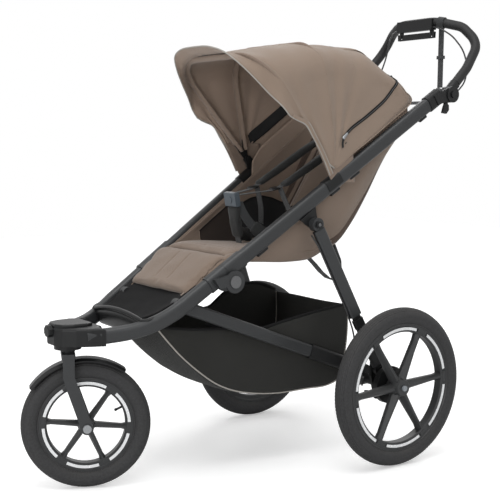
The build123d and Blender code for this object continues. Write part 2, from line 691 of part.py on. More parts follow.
def canopy_panel(first, second):
    """Curved fabric panel between two stations."""
    return loft([station_face(first, -0.05), station_face(second, 0.05)], ruled=True)


def station_face(name, turn=0.0):
    angle, foot, top = canopy_stations[name]
    return arch_face(angle + turn, foot, top, canopy_half, canopy_corner, canopy_skin)


def canopy_rear():
    """Rear part of the canopy, from its middle bow back to its edge above the handle."""
    rise = Vector(0, -78, 98).normalized()
    edge = Plane(origin=(0, 128, 908), x_dir=(1, 0, 0), z_dir=Vector(1, 0, 0).cross(rise))
    outer = arch_wire(0, 125, canopy_half, canopy_corner)
    inner = arch_wire(0, 125 - canopy_skin, canopy_half - canopy_skin, canopy_corner - canopy_skin)
    last = edge * make_face([*outer.edges(), *inner.edges(), Line(outer @ 0, inner @ 0), Line(outer @ 1, inner @ 1)])
    shell = loft([station_face("crest", -0.05), station_face("middle"), station_face("back"), last], ruled=True)
    skirt = side_plate(canopy_half - canopy_skin, canopy_half, [
        (-122, tube_top(-122) + 3.8), (-95, tube_top(-95) + 2.4), (-3, tube_top(-3) + 6.5),
        (83, tube_top(83) + 5.7), (127, tube_top(127) + 5.5), (60, 915), (-110, 800)])
    return shell + skirt + skirt.mirror(Plane.YZ)


def hoop(station, x_leg):
    """A bow of round bar on flat tangs, which turn on the canopy's pins."""
    angle, _, top = canopy_stations[station]
    a = math.radians(angle)
    plane = Plane(origin=(0, *canopy_hub), x_dir=(1, 0, 0), z_dir=(0, -math.sin(a), math.cos(a)))
    path = FilletPolyline(
        plane.from_local_coords((x_leg, tang_length - 4)), plane.from_local_coords((x_leg, top - bow_inset)),
        plane.from_local_coords((-x_leg, top - bow_inset)), plane.from_local_coords((-x_leg, tang_length - 4)),
        radius=canopy_corner - bow_inset)
    bar = sweep(Plane(origin=path @ 0, z_dir=path % 0) * Circle(bow_radius), path=path)
    tang = extrude(plane * Pos(x_leg, tang_length / 2) * Rectangle(tang_thickness, tang_length), 6, both=True)
    eye = cross_rod(x_leg - tang_thickness / 2, x_leg + tang_thickness / 2, canopy_hub, 9)
    eye_bore = cross_rod(x_leg - 10, x_leg + 10, canopy_hub, 4 + pin_clearance)
    tangs = tang + eye - eye_bore
    return bar + tangs + tangs.mirror(Plane.YZ)


def canopy_mounts():
    """Saddles on the upper tubes with a plate and a pivot pin for the canopy's bows."""
    y, z = canopy_hub
    saddle = beam(on_tube(y - 24), on_tube(y + 16), tube_height + 4, tube_width + 4, tube_corner + 2)
    rise = (z - tube_z(y)) * tube_along[0]
    saddle -= side_plate(100, 260, beside_tube((y, z), [(-90, -rise - 8), (90, -rise - 8), (90, -90), (-90, -90)]))
    plate = side_plate(*canopy_plate, beside_tube((y, z), [(-9, 6), (9, 6), (18, 16 - rise), (-18, 16 - rise)]))
    plate += cross_rod(*canopy_plate, canopy_hub, 11)
    plate = saddle + plate - beam(on_tube(y - 60), on_tube(y + 60), tube_height + 0.1, tube_width + 0.1, tube_corner)
    pin = cross_rod(canopy_plate[0] + 1, canopy_plate[1] + 9, canopy_hub, 4)
    head = cross_rod(canopy_plate[1] + 8.3, canopy_half - canopy_skin - soft_gap, canopy_hub, 7)
    return both(plate + pin + head)


def visor():
    """Peak ahead of the front bow, out to its sloping rim."""
    angle, _, top = canopy_stations["front"]
    first = arch_face(angle + 0.05, 112, top - 0.9, canopy_half, canopy_corner, canopy_skin)
    low, high = Vector(0, -268, 874), Vector(0, -415, 1047)
    rim_plane = Plane(origin=low, x_dir=(1, 0, 0), z_dir=Vector(1, 0, 0).cross((high - low).normalized()))
    half, rise, corner = canopy_half - 12, (high - low).length, canopy_corner + 14
    outer = arch_wire(0, rise, half, corner)
    inner = arch_wire(0, rise - canopy_skin, half - canopy_skin, corner - canopy_skin)
    ends = [Line(outer @ 0, inner @ 0), Line(outer @ 1, inner @ 1)]
    second = rim_plane * make_face([*outer.edges(), *inner.edges(), *ends])
    return loft([first, second], ruled=True)


# ---------------------------------------------------------------- seat
def seat_shell():
    """Seat cushion and the fabric walls that hang it between the side tubes."""
    pan = strip(-seat_half, seat_half, [(-398, 548), (-340, 546), (-240, 540), (-150, 536), (-92, 552)], 26)
    low = {-380: 531, -226: 520, -150: 524, -100: 545, -62: 560, 8: 640, 71: 742, 123: 812, 160: 868}
    sections = []
    for y, z in low.items():
        top = side_x(y) - tube_width / 2 - sleeve_wall - 0.1
        sections.append(make_face(Polyline(
            (seat_half + 3.5, y, z), (top, y, tube_z(y) + 4), (top - 3, y, tube_z(y) + 4),
            (seat_half - 0.5, y, z), close=True)))
    wall = loft(sections, ruled=True)
    lug = cross_rod(seat_half - 4, seat_half + 9, recline_pivot, 12)
    hole = cross_rod(0, seat_half + 4.5, recline_pivot, recline_rod_radius + pin_clearance)
    side = wall + lug - hole
    return pan + side + side.mirror(Plane.YZ)


def back_point(s, t):
    """(y, z) of a point of the backrest: s up its slope and t in front of it."""
    a = math.radians(recline_slope)
    return recline_pivot[0] + s * math.cos(a) - t * math.sin(a), recline_pivot[1] + s * math.sin(a) + t * math.cos(a)


def backrest_pad():
    """Reclining back panel, hung on the rod at the crease of the seat."""
    pad = side_plate(-back_half, back_half, [
        back_point(s, t) for s, t in ((2, 6), (back_length, 6), (back_length, -22), (2, -12))])
    pad = fillet(pad.edges().filter_by(Axis.X).group_by(Axis.Z)[-1], 8)
    pad += cross_rod(-back_half, back_half, recline_pivot, 12)
    return pad - cross_rod(-back_half - 1, back_half + 1, recline_pivot, recline_rod_radius + pin_clearance)


def recline_rod():
    return cross_rod(-seat_half - 4, seat_half + 4, recline_pivot, recline_rod_radius)


def leg_rest():
    """Padded leg rest with the fabric footwell below it."""
    pad = strip(-leg_rest_half, leg_rest_half, [(-522, 462), (-478, 500), (-436, 536)], 16)
    well = front_x(-620) - 22
    return pad + strip(-well, well, [(-620, 403), (-592, 413), (-560, 432), (-520, 460)], 4)


def footrest_bar():
    end = front_x(-632) - tube_width / 2 - 1.0
    points = [(end, -632, 407), (end - 15, -632, 407), (46, -676, 418), (-46, -676, 418),
              (15 - end, -632, 407), (-end, -632, 407)]
    return swept(points, [24, 60, 60, 24], 8)


crotch_foot = Vector(0, -276, 557.5)
crotch_rise = Vector(0, -21, 111).normalized()
crotch_out = Vector(0, -crotch_rise.Z, crotch_rise.Y)


def crotch_point(s, t):
    """(y, z) of a point s up the crotch strap and t in front of it."""
    p = crotch_foot + crotch_rise * s + crotch_out * t
    return p.Y, p.Z


def harness_pads():
    """Lap pads on the seat and the padded crotch strap."""
    lap = strip(34, 108, [(-250, 560.4), (-200, 558.1), (-152, 555.9)], 12)
    crotch = side_plate(-27, 27, [crotch_point(s, t) for s, t in ((-2.6, -7), (-0.6, 7), (98, 7), (98, -7))])
    return group(both(lap), crotch)


def buckle():
    body = side_plate(-24, 24, [crotch_point(s, t) for s, t in ((98.5, -7), (98.5, 8), (135, 8), (135, -7))])
    body = fillet(body.edges().filter_by(Axis.X), 3)
    middle = crotch_point(117, 0)
    return body - extrude(Plane(origin=(0, *middle), z_dir=crotch_out) * Circle(button_radius + 0.4), 20)


def buckle_button():
    middle = crotch_point(117, 3)
    return extrude(Plane(origin=(0, *middle), z_dir=crotch_out) * Circle(button_radius), 6.5)


def shoulder_pads():
    """Padded sleeves of the buckled shoulder straps, which leave the backrest high up."""
    return both(strip(34, 74, [(-180, 703), (-80, 757), (10, 803), back_point(292, 14)], 12))


def harness_webbing():
    """Shoulder straps from the ends of their pads to the buckle."""
    return both(beam((22, -287, 684), (54, -185, 700.5), 2, 22, 0.9))


def frame_straps():
    """Strap across the back of the seat and the pull loop under it that folds the frame."""
    half = side_x(178) - tube_width / 2 - sleeve_wall - soft_gap
    back = strip(-half, half, [(178, 915), (192, 922)], 2)
    pull = strip(104, 124, [(-140, 523.5), (-118, 504), (-98, 484), (-74, 466), (-50, 458), (-33, 470), (-37, 510),
                            (-58, 553)], 3)
    return group(back, pull)


def tube_clips():
    """Small plastic clips under the upper tubes for the elastics of the seat and the basket."""
    pieces = []
    for y, size in ((-338, 13), (-126, 12), (-68, 14), (150, 9)):
        block = beam(on_tube(y - size), on_tube(y + size), tube_height + 14, tube_width - 10, 6)
        upper_half = side_plate(100, 300, beside_tube((y, tube_z(y)), [(-40, 0), (40, 0), (40, 60), (-40, 60)]))
        pieces.append(both(block - upper_half - beam(on_tube(y - 60), on_tube(y + 60),
                                                     tube_height + 0.1, tube_width + 0.1, tube_corner)))
    return group(*pieces)


# ---------------------------------------------------------------- basket
def basket():
    """Open fabric basket slung between the lower bars."""
    rim_line = [(-592, 380), (-452, 380), (-330, 410), (-270, 430), (-36, 404)]
    floor_line = [(-30, 300), (-62, 214), (-120, 188), (-300, 182), (-420, 212), (-520, 280)]
    t = basket_skin
    inner_floor = [(-30 - t, 300), (-62 - 0.8 * t, 214 + 0.8 * t), (-120, 188 + t), (-300, 182 + t),
                   (-420 + 0.4 * t, 212 + t), (-520 + 0.8 * t, 280 + t)]
    inner_rim = [(-592 + t, 384), (-592 + t, 600), (-36 - t, 600), (-36 - t, 404)]

    def prism(side):
        return extrude(make_face(Polyline(*[(-200, *p) for p in side], close=True)), 400, dir=(1, 0, 0))

    def plan(inset):
        front, rear = basket_front_half - inset, basket_rear_half - inset
        return extrude(make_face(Polyline(
            (-front, -600, 100), (front, -600, 100), (rear, -20, 100), (-rear, -20, 100), close=True)), 600)

    return (prism(rim_line + floor_line) & plan(0)) - (prism(inner_rim + inner_floor) & plan(t))


# ---------------------------------------------------------------- nodes
def nodes():
    front_leg, crest_leg = canopy_plate[1] + 2.2, canopy_plate[1] + 6.1
    trigger, link = handle_trigger(), suspension_link()
    made = {
        "upper_tubes": upper_tubes(), "front_tubes": front_tubes(),
        "upper_hinge_shells": both(hinge_shell(False)), "front_hinge_shells": both(hinge_shell(True)),
        "fold_pins": fold_pins(), "leg_brackets": leg_bracket(), "front_head": front_head(), "fork": fork(),
        "front_axle": front_axle(), "front_fender": fender(), "swivel_lock_knob": swivel_lock(),
        "lower_bars": lower_bars(), "rear_axle_tube": axle_tube(), "rear_axle_castings": group(axle_castings(), axle_ends(), brake_drums()),
        "brake_arms": brake_arms(),
        "parking_brake_bar": parking_brake(), "rear_legs": rear_legs(), "suspension_link_left": link, "suspension_link_right": link.mirror(Plane.YZ),
        "leg_brake_cables": leg_cable(), "handlebar_tube": handlebar_tube(), "handlebar_grip": handlebar_grip(),
        "handle_sockets": handle_sockets(), "handle_hubs": handle_hubs(), "handle_trigger_left": trigger,
        "handle_trigger_right": trigger.mirror(Plane.YZ), "brake_housing": brake_panel(),
        "brake_bail": brake_bail(), "handlebar_brake_cables": handlebar_cables(), "wrist_strap": wrist_strap(),
        "canopy_mounts": canopy_mounts(), "canopy_front_bow": hoop("front", front_leg),
        "canopy_middle_bow": hoop("crest", crest_leg), "canopy_visor": visor(),
        "canopy_front_panel": canopy_panel("front", "crest"), "canopy_rear_panel": canopy_rear(),
        "seat_shell": seat_shell(), "backrest_pad": backrest_pad(), "recline_rod": recline_rod(),
        "leg_rest": leg_rest(), "footrest_bar": footrest_bar(), "harness_pads": harness_pads(),
        "buckle": buckle(), "buckle_button": buckle_button(), "shoulder_pads": shoulder_pads(),
        "harness_webbing": harness_webbing(), "frame_straps": frame_straps(), "tube_clips": tube_clips(),
        "basket": basket(),
    }
    wheel = front_wheel()
    wheel["front_tyre"] = group(wheel["front_tyre"], wheel.pop("front_valve"))
    made.update(wheel)
    for name, side in (("left", 1), ("right", -1)):
        for piece, shape in rear_wheel(side).items():
            made[piece + "_" + name] = shape
    return made


def build():
    os.makedirs("parts", exist_ok=True)
    for name, shape in nodes().items():
        export_node(name, shape)


if __name__ == "__main__":
    build()
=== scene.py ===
"""Finish, fabric and lighting of the three-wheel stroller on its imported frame.

Metres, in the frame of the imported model: +Z up, -Y the travel direction, +X the
child's left. at() takes millimetres counted from the rear axle.
"""
import math

import bpy
import bmesh
import numpy as np
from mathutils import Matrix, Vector
from mathutils.bvhtree import BVHTree


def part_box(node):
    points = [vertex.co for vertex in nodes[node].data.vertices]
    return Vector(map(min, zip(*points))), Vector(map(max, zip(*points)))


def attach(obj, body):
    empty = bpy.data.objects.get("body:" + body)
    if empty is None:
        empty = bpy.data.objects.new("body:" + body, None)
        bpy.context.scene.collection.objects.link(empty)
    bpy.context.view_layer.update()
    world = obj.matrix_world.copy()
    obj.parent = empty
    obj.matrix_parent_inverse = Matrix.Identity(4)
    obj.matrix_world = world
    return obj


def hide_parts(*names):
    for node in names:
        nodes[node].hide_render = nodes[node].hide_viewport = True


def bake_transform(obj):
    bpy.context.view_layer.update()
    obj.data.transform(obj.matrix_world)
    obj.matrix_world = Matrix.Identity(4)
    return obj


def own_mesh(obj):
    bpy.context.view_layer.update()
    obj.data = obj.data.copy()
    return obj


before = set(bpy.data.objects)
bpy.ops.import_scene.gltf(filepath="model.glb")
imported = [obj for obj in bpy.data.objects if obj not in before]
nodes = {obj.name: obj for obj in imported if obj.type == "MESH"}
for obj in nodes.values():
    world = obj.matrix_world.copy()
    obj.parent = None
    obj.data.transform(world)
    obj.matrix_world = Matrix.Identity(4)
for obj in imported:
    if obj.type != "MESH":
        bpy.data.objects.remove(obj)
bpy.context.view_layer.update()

AXLE_TO_MIDDLE = 238.9        # millimetres, along Y


def at(x, y, z):
    """A place in metres, from millimetres counted from the rear axle."""
    return Vector((x, y + AXLE_TO_MIDDLE, z)) / 1000


def add_object(name, data):
    """A new object in the scene, from a mesh, lamp or camera."""
    item = bpy.data.objects.new(name, data)
    bpy.context.collection.objects.link(item)
    return item


# ---------------------------------------------------------------- camera, lamps and floor
def place_camera():
    """A long lens near seat height, off the child's left front."""
    data = bpy.data.cameras.new("camera")
    data.lens = 77
    data.sensor_width = 36
    data.shift_x = 0.07
    data.shift_y = 0.075
    camera = add_object("camera", data)
    camera.location = (2.2307, -1.6384, 0.8284)
    backward = Vector((0.817, -0.559, 0.139))
    camera.rotation_euler = backward.to_track_quat("Z", "Y").to_euler()
    bpy.context.scene.camera = camera


def add_lamp(name, place, aim, size, watts):
    """A round soft lamp at a place, turned to what it lights."""
    data = bpy.data.lights.new(name, "AREA")
    data.shape = "DISK"
    data.size = size
    data.energy = watts
    lamp = add_object(name, data)
    lamp.location = place
    lamp.rotation_euler = (Vector(place) - Vector(aim)).to_track_quat("Z", "Y").to_euler()


class Tree:
    """A node tree, with short calls to add nodes and join them."""

    def __init__(self, tree):
        self.tree = tree

    def add(self, kind, **values):
        node = self.tree.nodes.new("ShaderNode" + kind)
        for name, value in values.items():
            if name in node.bl_rna.properties:
                setattr(node, name, value)
            else:
                self.feed(node.inputs[name.replace("_", " ")], value)
        return node

    def feed(self, socket, value):
        """Gives a socket a plain value, or joins another node's output to it."""
        if isinstance(value, bpy.types.NodeSocket):
            self.tree.links.new(value, socket)
        else:
            socket.default_value = value

    def maths(self, operation, *values, clamp=False):
        node = self.tree.nodes.new("ShaderNodeMath")
        node.operation = operation
        node.use_clamp = clamp
        for socket, value in zip(node.inputs, values):
            self.feed(socket, value)
        return node.outputs[0]

    def vector(self, operation, *values):
        node = self.tree.nodes.new("ShaderNodeVectorMath")
        node.operation = operation
        for socket, value in zip(node.inputs, values):
            self.feed(socket, value)
        return node

    def spread(self, value, low, high, to_low=0.0, to_high=1.0):
        """Stretches a range of values onto another, held at its ends."""
        node = self.tree.nodes.new("ShaderNodeMapRange")
        for socket, number in zip(node.inputs, (value, low, high, to_low, to_high)):
            self.feed(socket, number)
        return node.outputs[0]

    def blend(self, share, first, second):
        """Mixes two colours."""
        node = self.tree.nodes.new("ShaderNodeMix")
        node.data_type = "RGBA"
        self.feed(node.inputs["Factor"], share)
        for socket, value in ((node.inputs[6], first), (node.inputs[7], second)):
            self.feed(socket, value)
        return node.outputs[2]

    def noise(self, coordinates, scale, detail=2.0, rough=0.5):
        return self.add("TexNoise", Vector=coordinates, Scale=scale, Detail=detail,
                        Roughness=rough).outputs["Fac"]


FLOOR_SIZE = 12


def set_stage():
    """A white paper floor that fades into a white surround."""
    mesh = bpy.data.meshes.new("studio_floor")
    s = FLOOR_SIZE / 2
    mesh.from_pydata([(-s, -s, 0), (s, -s, 0), (s, s, 0), (-s, s, 0)], [], [(0, 1, 2, 3)])
    floor = add_object("studio_floor", mesh)
    paper = bpy.data.materials.new("floor_paper")
    paper.use_nodes = True
    t = Tree(paper.node_tree)
    shader = t.tree.nodes["Principled BSDF"]
    shader.inputs["Base Color"].default_value = (0.93, 0.93, 0.93, 1)
    shader.inputs["Roughness"].default_value = 0.75
    seen = t.add("LightPath").outputs["Is Camera Ray"]
    place = t.add("TexCoord").outputs["Object"]
    fibre = t.noise(place, 260.0)
    t.feed(shader.inputs["Normal"], t.add("Bump", Strength=0.02, Height=fibre).outputs["Normal"])
    t.feed(shader.inputs["Emission Color"], t.blend(seen, (0, 0, 0, 1), (1, 1, 1, 1)))
    far = t.vector("LENGTH", place).outputs["Value"]
    t.feed(shader.inputs["Emission Strength"], t.spread(far, 1.3, 4.2, 0.34, 0.50))
    mesh.materials.append(paper)

    world = bpy.data.worlds.new("studio")
    bpy.context.scene.world = world
    world.use_nodes = True
    t = Tree(world.node_tree)
    t.tree.nodes.clear()
    path = t.add("LightPath")
    seen = t.maths("MAXIMUM",
                   t.maths("MAXIMUM", path.outputs["Is Camera Ray"], path.outputs["Is Glossy Ray"]),
                   path.outputs["Is Transmission Ray"])
    light = t.add("Background", Color=(1, 1, 1, 1), Strength=0.62)
    white = t.add("Background", Color=(1, 1, 1, 1), Strength=1.0)
    mix = t.add("MixShader")
    t.feed(mix.inputs[0], seen)
    t.feed(mix.inputs[1], light.outputs[0])
    t.feed(mix.inputs[2], white.outputs[0])
    out = t.add("OutputWorld")
    t.feed(out.inputs["Surface"], mix.outputs[0])


place_camera()
bpy.context.scene.view_settings.view_transform = "Standard"
add_lamp("overhead_lamp", (0.6, -0.6, 3.2), (0, 0, 0.5), 2.2, 42)
add_lamp("front_lamp", (2.0, -3.0, 1.35), (0, 0, 0.7), 1.6, 34)
add_lamp("back_lamp", (-2.2, 1.8, 2.2), (0, 0, 0.6), 1.6, 20)
set_stage()


# ---------------------------------------------------------------- shared effects
def new_effect(name, inputs, outputs):
    """An empty node group with named number sockets; gives its Tree, input node and output node."""
    group = bpy.data.node_groups.new(name, "ShaderNodeTree")
    for label, value in inputs.items():
        group.interface.new_socket(label, in_out="INPUT", socket_type="NodeSocketFloat").default_value = value
    for label in outputs:
        group.interface.new_socket(label, in_out="OUTPUT", socket_type="NodeSocketFloat")
    return Tree(group), group.nodes.new("NodeGroupInput"), group.nodes.new("NodeGroupOutput")


def make_weave():
    """Plain weave on any surface: Height of the yarns, and Gap where they cross."""
    t, given, result = new_effect("weave", {"Pitch": 0.8}, ("Height", "Gap"))
    place = t.add("TexCoord").outputs["Object"]
    turns = t.maths("DIVIDE", 6283.2, given.outputs["Pitch"])
    scaled = t.vector("SCALE", place)
    t.feed(scaled.inputs["Scale"], turns)
    waves = t.vector("SINE", scaled.outputs[0]).outputs[0]
    parts = t.add("SeparateXYZ", Vector=waves)
    turned = t.add("CombineXYZ", X=parts.outputs["Y"], Y=parts.outputs["Z"], Z=parts.outputs["X"])
    height = t.vector("DOT_PRODUCT", waves, turned.outputs[0]).outputs["Value"]
    t.feed(result.inputs["Height"], height)
    t.feed(result.inputs["Gap"], t.spread(height, -0.9, 0.2, 1.0, 0.0))
    return t.tree


def make_heather():
    """Uneven dye: fine yarn flecks over slow clouds."""
    t, given, result = new_effect("heather", {"Fleck": 900.0, "Cloud": 7.0}, ("Tone",))
    place = t.add("TexCoord").outputs["Object"]
    fleck = t.noise(place, given.outputs["Fleck"], 3.0, 0.7)
    cloud = t.noise(place, given.outputs["Cloud"], 3.0, 0.5)
    t.feed(result.inputs["Tone"],
           t.maths("ADD", t.maths("MULTIPLY", fleck, 0.55), t.maths("MULTIPLY", cloud, 0.45)))
    return t.tree


def make_grain():
    """Fine pebbled texture of moulded plastic and powder paint."""
    t, given, result = new_effect("grain", {"Scale": 900.0}, ("Height", "Fleck"))
    place = t.add("TexCoord").outputs["Object"]
    pebbles = t.add("TexVoronoi", Vector=place, Scale=given.outputs["Scale"]).outputs["Distance"]
    cloud = t.noise(place, t.maths("MULTIPLY", given.outputs["Scale"], 0.4), 3.0, 0.6)
    t.feed(result.inputs["Height"], t.maths("ADD", pebbles, cloud))
    t.feed(result.inputs["Fleck"], cloud)
    return t.tree


def make_edge_wear():
    """Where edges are rubbed: found from how much a rounded edge would turn the surface."""
    t, given, result = new_effect("edge_wear", {"Width": 0.0012, "Amount": 1.0}, ("Mask",))
    place = t.add("TexCoord").outputs["Object"]
    rounded = t.add("Bevel", samples=4, Radius=given.outputs["Width"])
    flat = t.add("NewGeometry").outputs["Normal"]
    same = t.vector("DOT_PRODUCT", rounded.outputs["Normal"], flat).outputs["Value"]
    edge = t.spread(same, 0.995, 0.86, 0.0, 1.0)
    broken = t.spread(t.noise(place, 60.0, 4.0, 0.65), 0.42, 0.62, 0.15, 1.0)
    t.feed(result.inputs["Mask"],
           t.maths("MULTIPLY", t.maths("MULTIPLY", edge, broken), given.outputs["Amount"],
                                          clamp=True))
    return t.tree


def make_dust():
    """Dust that settles on faces turned upwards."""
    t, given, result = new_effect("dust", {"Amount": 0.2}, ("Mask",))
    place = t.add("TexCoord").outputs["Object"]
    up = t.add("SeparateXYZ", Vector=t.add("NewGeometry").outputs["Normal"]).outputs["Z"]
    lying = t.spread(up, 0.2, 1.0, 0.0, 1.0)
    patches = t.spread(t.noise(place, 18.0, 4.0, 0.6), 0.35, 0.75, 0.2, 1.0)
    t.feed(result.inputs["Mask"],
           t.maths("MULTIPLY", t.maths("MULTIPLY", lying, patches), given.outputs["Amount"],
                                          clamp=True))
    return t.tree


effects = {"weave": make_weave(), "heather": make_heather(), "grain": make_grain(),
           "edge_wear": make_edge_wear(), "dust": make_dust()}


# ---------------------------------------------------------------- materials
def new_material(name):
    material = bpy.data.materials.new(name)
    material.use_nodes = True
    t = Tree(material.node_tree)
    return material, t, t.tree.nodes["Principled BSDF"]


def effect(t, name, **values):
    node = t.tree.nodes.new("ShaderNodeGroup")
    node.node_tree = effects[name]
    for label, value in values.items():
        t.feed(node.inputs[label], value)
    return node.outputs


def shade(colour, share):
    """A colour scaled in brightness."""
    return tuple(c * share for c in colour[:3]) + (1.0,)


def cloth(name, colour, pitch, contrast=0.3, rough=0.86, sheen=0.25, relief=0.35, gap=0.35):
    """Woven fabric."""
    material, t, shader = new_material(name)
    weave = effect(t, "weave", Pitch=pitch)
    tone = effect(t, "heather")["Tone"]
    dyed = t.blend(t.spread(tone, 0.3, 0.7), shade(colour, 1 - contrast), shade(colour, 1 + contrast))
    woven = t.blend(t.maths("MULTIPLY", weave["Gap"], gap), dyed, shade(colour, 0.35))
    t.feed(shader.inputs["Base Color"], woven)
    t.feed(shader.inputs["Roughness"], t.spread(weave["Height"], -1.0, 2.0, rough + 0.06, rough - 0.06))
    shader.inputs["Sheen Weight"].default_value = sheen
    shader.inputs["Sheen Roughness"].default_value = 0.45
    shader.inputs["Specular IOR Level"].default_value = 0.25
    bump = t.add("Bump", Strength=relief, Distance=0.0002, Height=weave["Height"])
    t.feed(shader.inputs["Normal"], bump.outputs["Normal"])
    return material


def hard(name, colour, rough, metal=0.0, grain=900.0, relief=0.2, wear=None, dust=0.0, coat=0.0, fleck=0.2,
         specular=0.5):
    """Painted, moulded or bare hard surface with grain, rubbed edges and a little dust."""
    material, t, shader = new_material(name)
    texture = effect(t, "grain", Scale=grain)
    face = t.blend(t.spread(texture["Fleck"], 0.3, 0.7), shade(colour, 1 - fleck), shade(colour, 1 + fleck))
    if wear:
        face = t.blend(effect(t, "edge_wear", Amount=wear[1])["Mask"], face, tuple(wear[0]) + (1.0,))
    roughness = t.spread(texture["Fleck"], 0.2, 0.8, rough - 0.05, rough + 0.07)
    if dust:
        settled = effect(t, "dust", Amount=dust)["Mask"]
        face = t.blend(settled, face, (0.33, 0.31, 0.28, 1))
        roughness = t.maths("ADD", roughness, t.maths("MULTIPLY", settled, 0.5), clamp=True)
    t.feed(shader.inputs["Base Color"], face)
    t.feed(shader.inputs["Roughness"], roughness)
    shader.inputs["Metallic"].default_value = metal
    shader.inputs["Specular IOR Level"].default_value = specular
    shader.inputs["Coat Weight"].default_value = coat
    shader.inputs["Coat Roughness"].default_value = 0.25
    bump = t.add("Bump", Strength=relief, Distance=0.0001, Height=texture["Height"])
    t.feed(shader.inputs["Normal"], bump.outputs["Normal"])
    return material


TAUPE = (0.262, 0.198, 0.153)
finishes = {
    "canopy_cloth": cloth("canopy_cloth", TAUPE, 0.55, contrast=0.10, gap=0.2),
    # the hood's lining is the canopy taupe made lighter than the cloth's own colour: painted light for the
    # shaded inside of the hood
    "canopy_lining": cloth("canopy_lining", (0.350, 0.264, 0.208), 0.55, contrast=0.14),
    "canopy_sleeve": cloth("canopy_sleeve", (0.250, 0.188, 0.148), 0.6, contrast=0.12),
    "gusset_cloth": cloth("gusset_cloth", (0.090, 0.062, 0.048), 0.7, contrast=0.14),
    "seat_cloth": cloth("seat_cloth", (0.216, 0.163, 0.127), 0.7, contrast=0.10, gap=0.22),
    "liner_mesh": cloth("liner_mesh", (0.020, 0.020, 0.021), 1.6, contrast=0.35, relief=0.7, gap=0.8,
                        sheen=0.1),
    "vent_mesh": cloth("vent_mesh", (0.040, 0.029, 0.024), 1.6, contrast=0.3, relief=0.7, gap=0.7, sheen=0.1),
    "webbing_light": cloth("webbing_light", (0.075, 0.077, 0.079), 1.3, contrast=0.25, relief=0.8, gap=0.4),
    "black_cloth": cloth("black_cloth", (0.005, 0.005, 0.0054), 0.7, contrast=0.3, sheen=0.0),
    # a darker copy of the basket cloth for the bag's bottom and front slope: painted shade where the front
    # lamp lights it
    "basket_bottom_painted_shade": cloth("basket_bottom_painted_shade", (0.012, 0.0125, 0.011), 0.9, contrast=0.3, sheen=0.05),
    "buckle_plastic": hard("buckle_plastic", (0.062, 0.078, 0.094), 0.42, grain=1500.0, relief=0.15),
    "pad_cloth": cloth("pad_cloth", (0.021, 0.022, 0.022), 0.8, contrast=0.3, sheen=0.2),
    "basket_cloth": cloth("basket_cloth", (0.022, 0.022, 0.020), 0.9, contrast=0.3, sheen=0.12),
    "webbing": cloth("webbing", (0.040, 0.042, 0.044), 1.3, contrast=0.3, relief=0.8, gap=0.5),
    "piping": cloth("piping", (0.36, 0.34, 0.31), 0.5, contrast=0.1),
    "frame_paint": hard("frame_paint", (0.027, 0.0285, 0.030), 0.44, metal=0.22, grain=1400.0, relief=0.25,
                        wear=((0.11, 0.115, 0.12), 0.3), dust=0.02, coat=0.08, fleck=0.12, specular=0.42),
    "black_plastic": hard("black_plastic", (0.008, 0.0083, 0.0087), 0.42, grain=1000.0, relief=0.35,
                          wear=((0.06, 0.06, 0.065), 0.35), dust=0.01, specular=0.26),
    "wheel_plastic": hard("wheel_plastic", (0.022, 0.023, 0.024), 0.46, grain=800.0, relief=0.3,
                          wear=((0.07, 0.073, 0.075), 0.45), dust=0.05, specular=0.42),
    "button_plastic": hard("button_plastic", (0.22, 0.24, 0.26), 0.42, grain=700.0, relief=0.15,
                           wear=((0.35, 0.36, 0.38), 0.4), dust=0.1),
    "steel": hard("steel", (0.30, 0.31, 0.32), 0.32, metal=0.95, grain=1600.0, relief=0.12,
                  wear=((0.55, 0.56, 0.58), 0.4), dust=0.12),
    "badge_grey": hard("badge_grey", (0.115, 0.117, 0.12), 0.4, metal=0.3, grain=1400.0, relief=0.12,
                       wear=((0.2, 0.2, 0.21), 0.3), dust=0.08),
    "tyre_rubber": hard("tyre_rubber", (0.030, 0.030, 0.031), 0.72, grain=500.0, relief=0.5, dust=0.10,
                        fleck=0.25, specular=0.35),
    "grip_rubber": hard("grip_rubber", (0.009, 0.009, 0.0095), 0.6, grain=600.0, relief=0.7, dust=0.02,
                        specular=0.4),
    "reflector": hard("reflector", (0.72, 0.73, 0.74), 0.24, metal=0.25, grain=300.0, relief=0.25, coat=0.5,
                      fleck=0.06),
    "cable_sheath": hard("cable_sheath", (0.014, 0.014, 0.015), 0.38, grain=900.0, relief=0.1, specular=0.6),
}

CAD_FINISHES = {
    "frame_paint": ("upper_tubes", "front_tubes", "lower_bars", "rear_legs", "fork", "handlebar_tube",
                    "upper_hinge_shells", "front_hinge_shells"),
    "steel": ("front_axle", "recline_rod"),
    "badge_grey": ("fold_pins",),
    "wheel_plastic": ("front_rim", "rear_rim_left", "rear_rim_right"),
    "button_plastic": ("hub_button_left", "hub_button_right"),
    "buckle_plastic": ("buckle", "buckle_button"),
    "tyre_rubber": ("front_tyre", "rear_tyre_left", "rear_tyre_right"),
    "grip_rubber": ("handlebar_grip",),
    "reflector": ("front_reflectors", "rear_reflectors_left", "rear_reflectors_right"),
    "cable_sheath": ("leg_brake_cables", "handlebar_brake_cables"),
    "webbing": ("wrist_strap", "frame_straps", "harness_webbing"),
    "pad_cloth": ("harness_pads", "shoulder_pads"),
    "canopy_cloth": ("canopy_front_panel", "canopy_rear_panel", "canopy_visor"),
    "seat_cloth": ("seat_shell", "backrest_pad", "leg_rest"),
    "basket_cloth": ("basket",),
}


def finish_cad_nodes():
    """Gives every CAD node a finish; what isn't listed is black moulded plastic."""
    chosen = {node: name for name, listed in CAD_FINISHES.items() for node in listed}
    for name, piece in nodes.items():
        for place in piece.material_slots:
            place.material = finishes[chosen.get(name, "black_plastic")]


finish_cad_nodes()

# ---------------------------------------------------------------- fabric and thread helpers
def smooth_line(points, count):
    """A smooth line through the points, as an array of evenly spaced places."""
    p = np.array(points, float)
    if len(p) == 2:
        return p[0] + (p[1] - p[0]) * np.linspace(0, 1, count)[:, None]
    return evenly(smooth_span(p, 24), count)


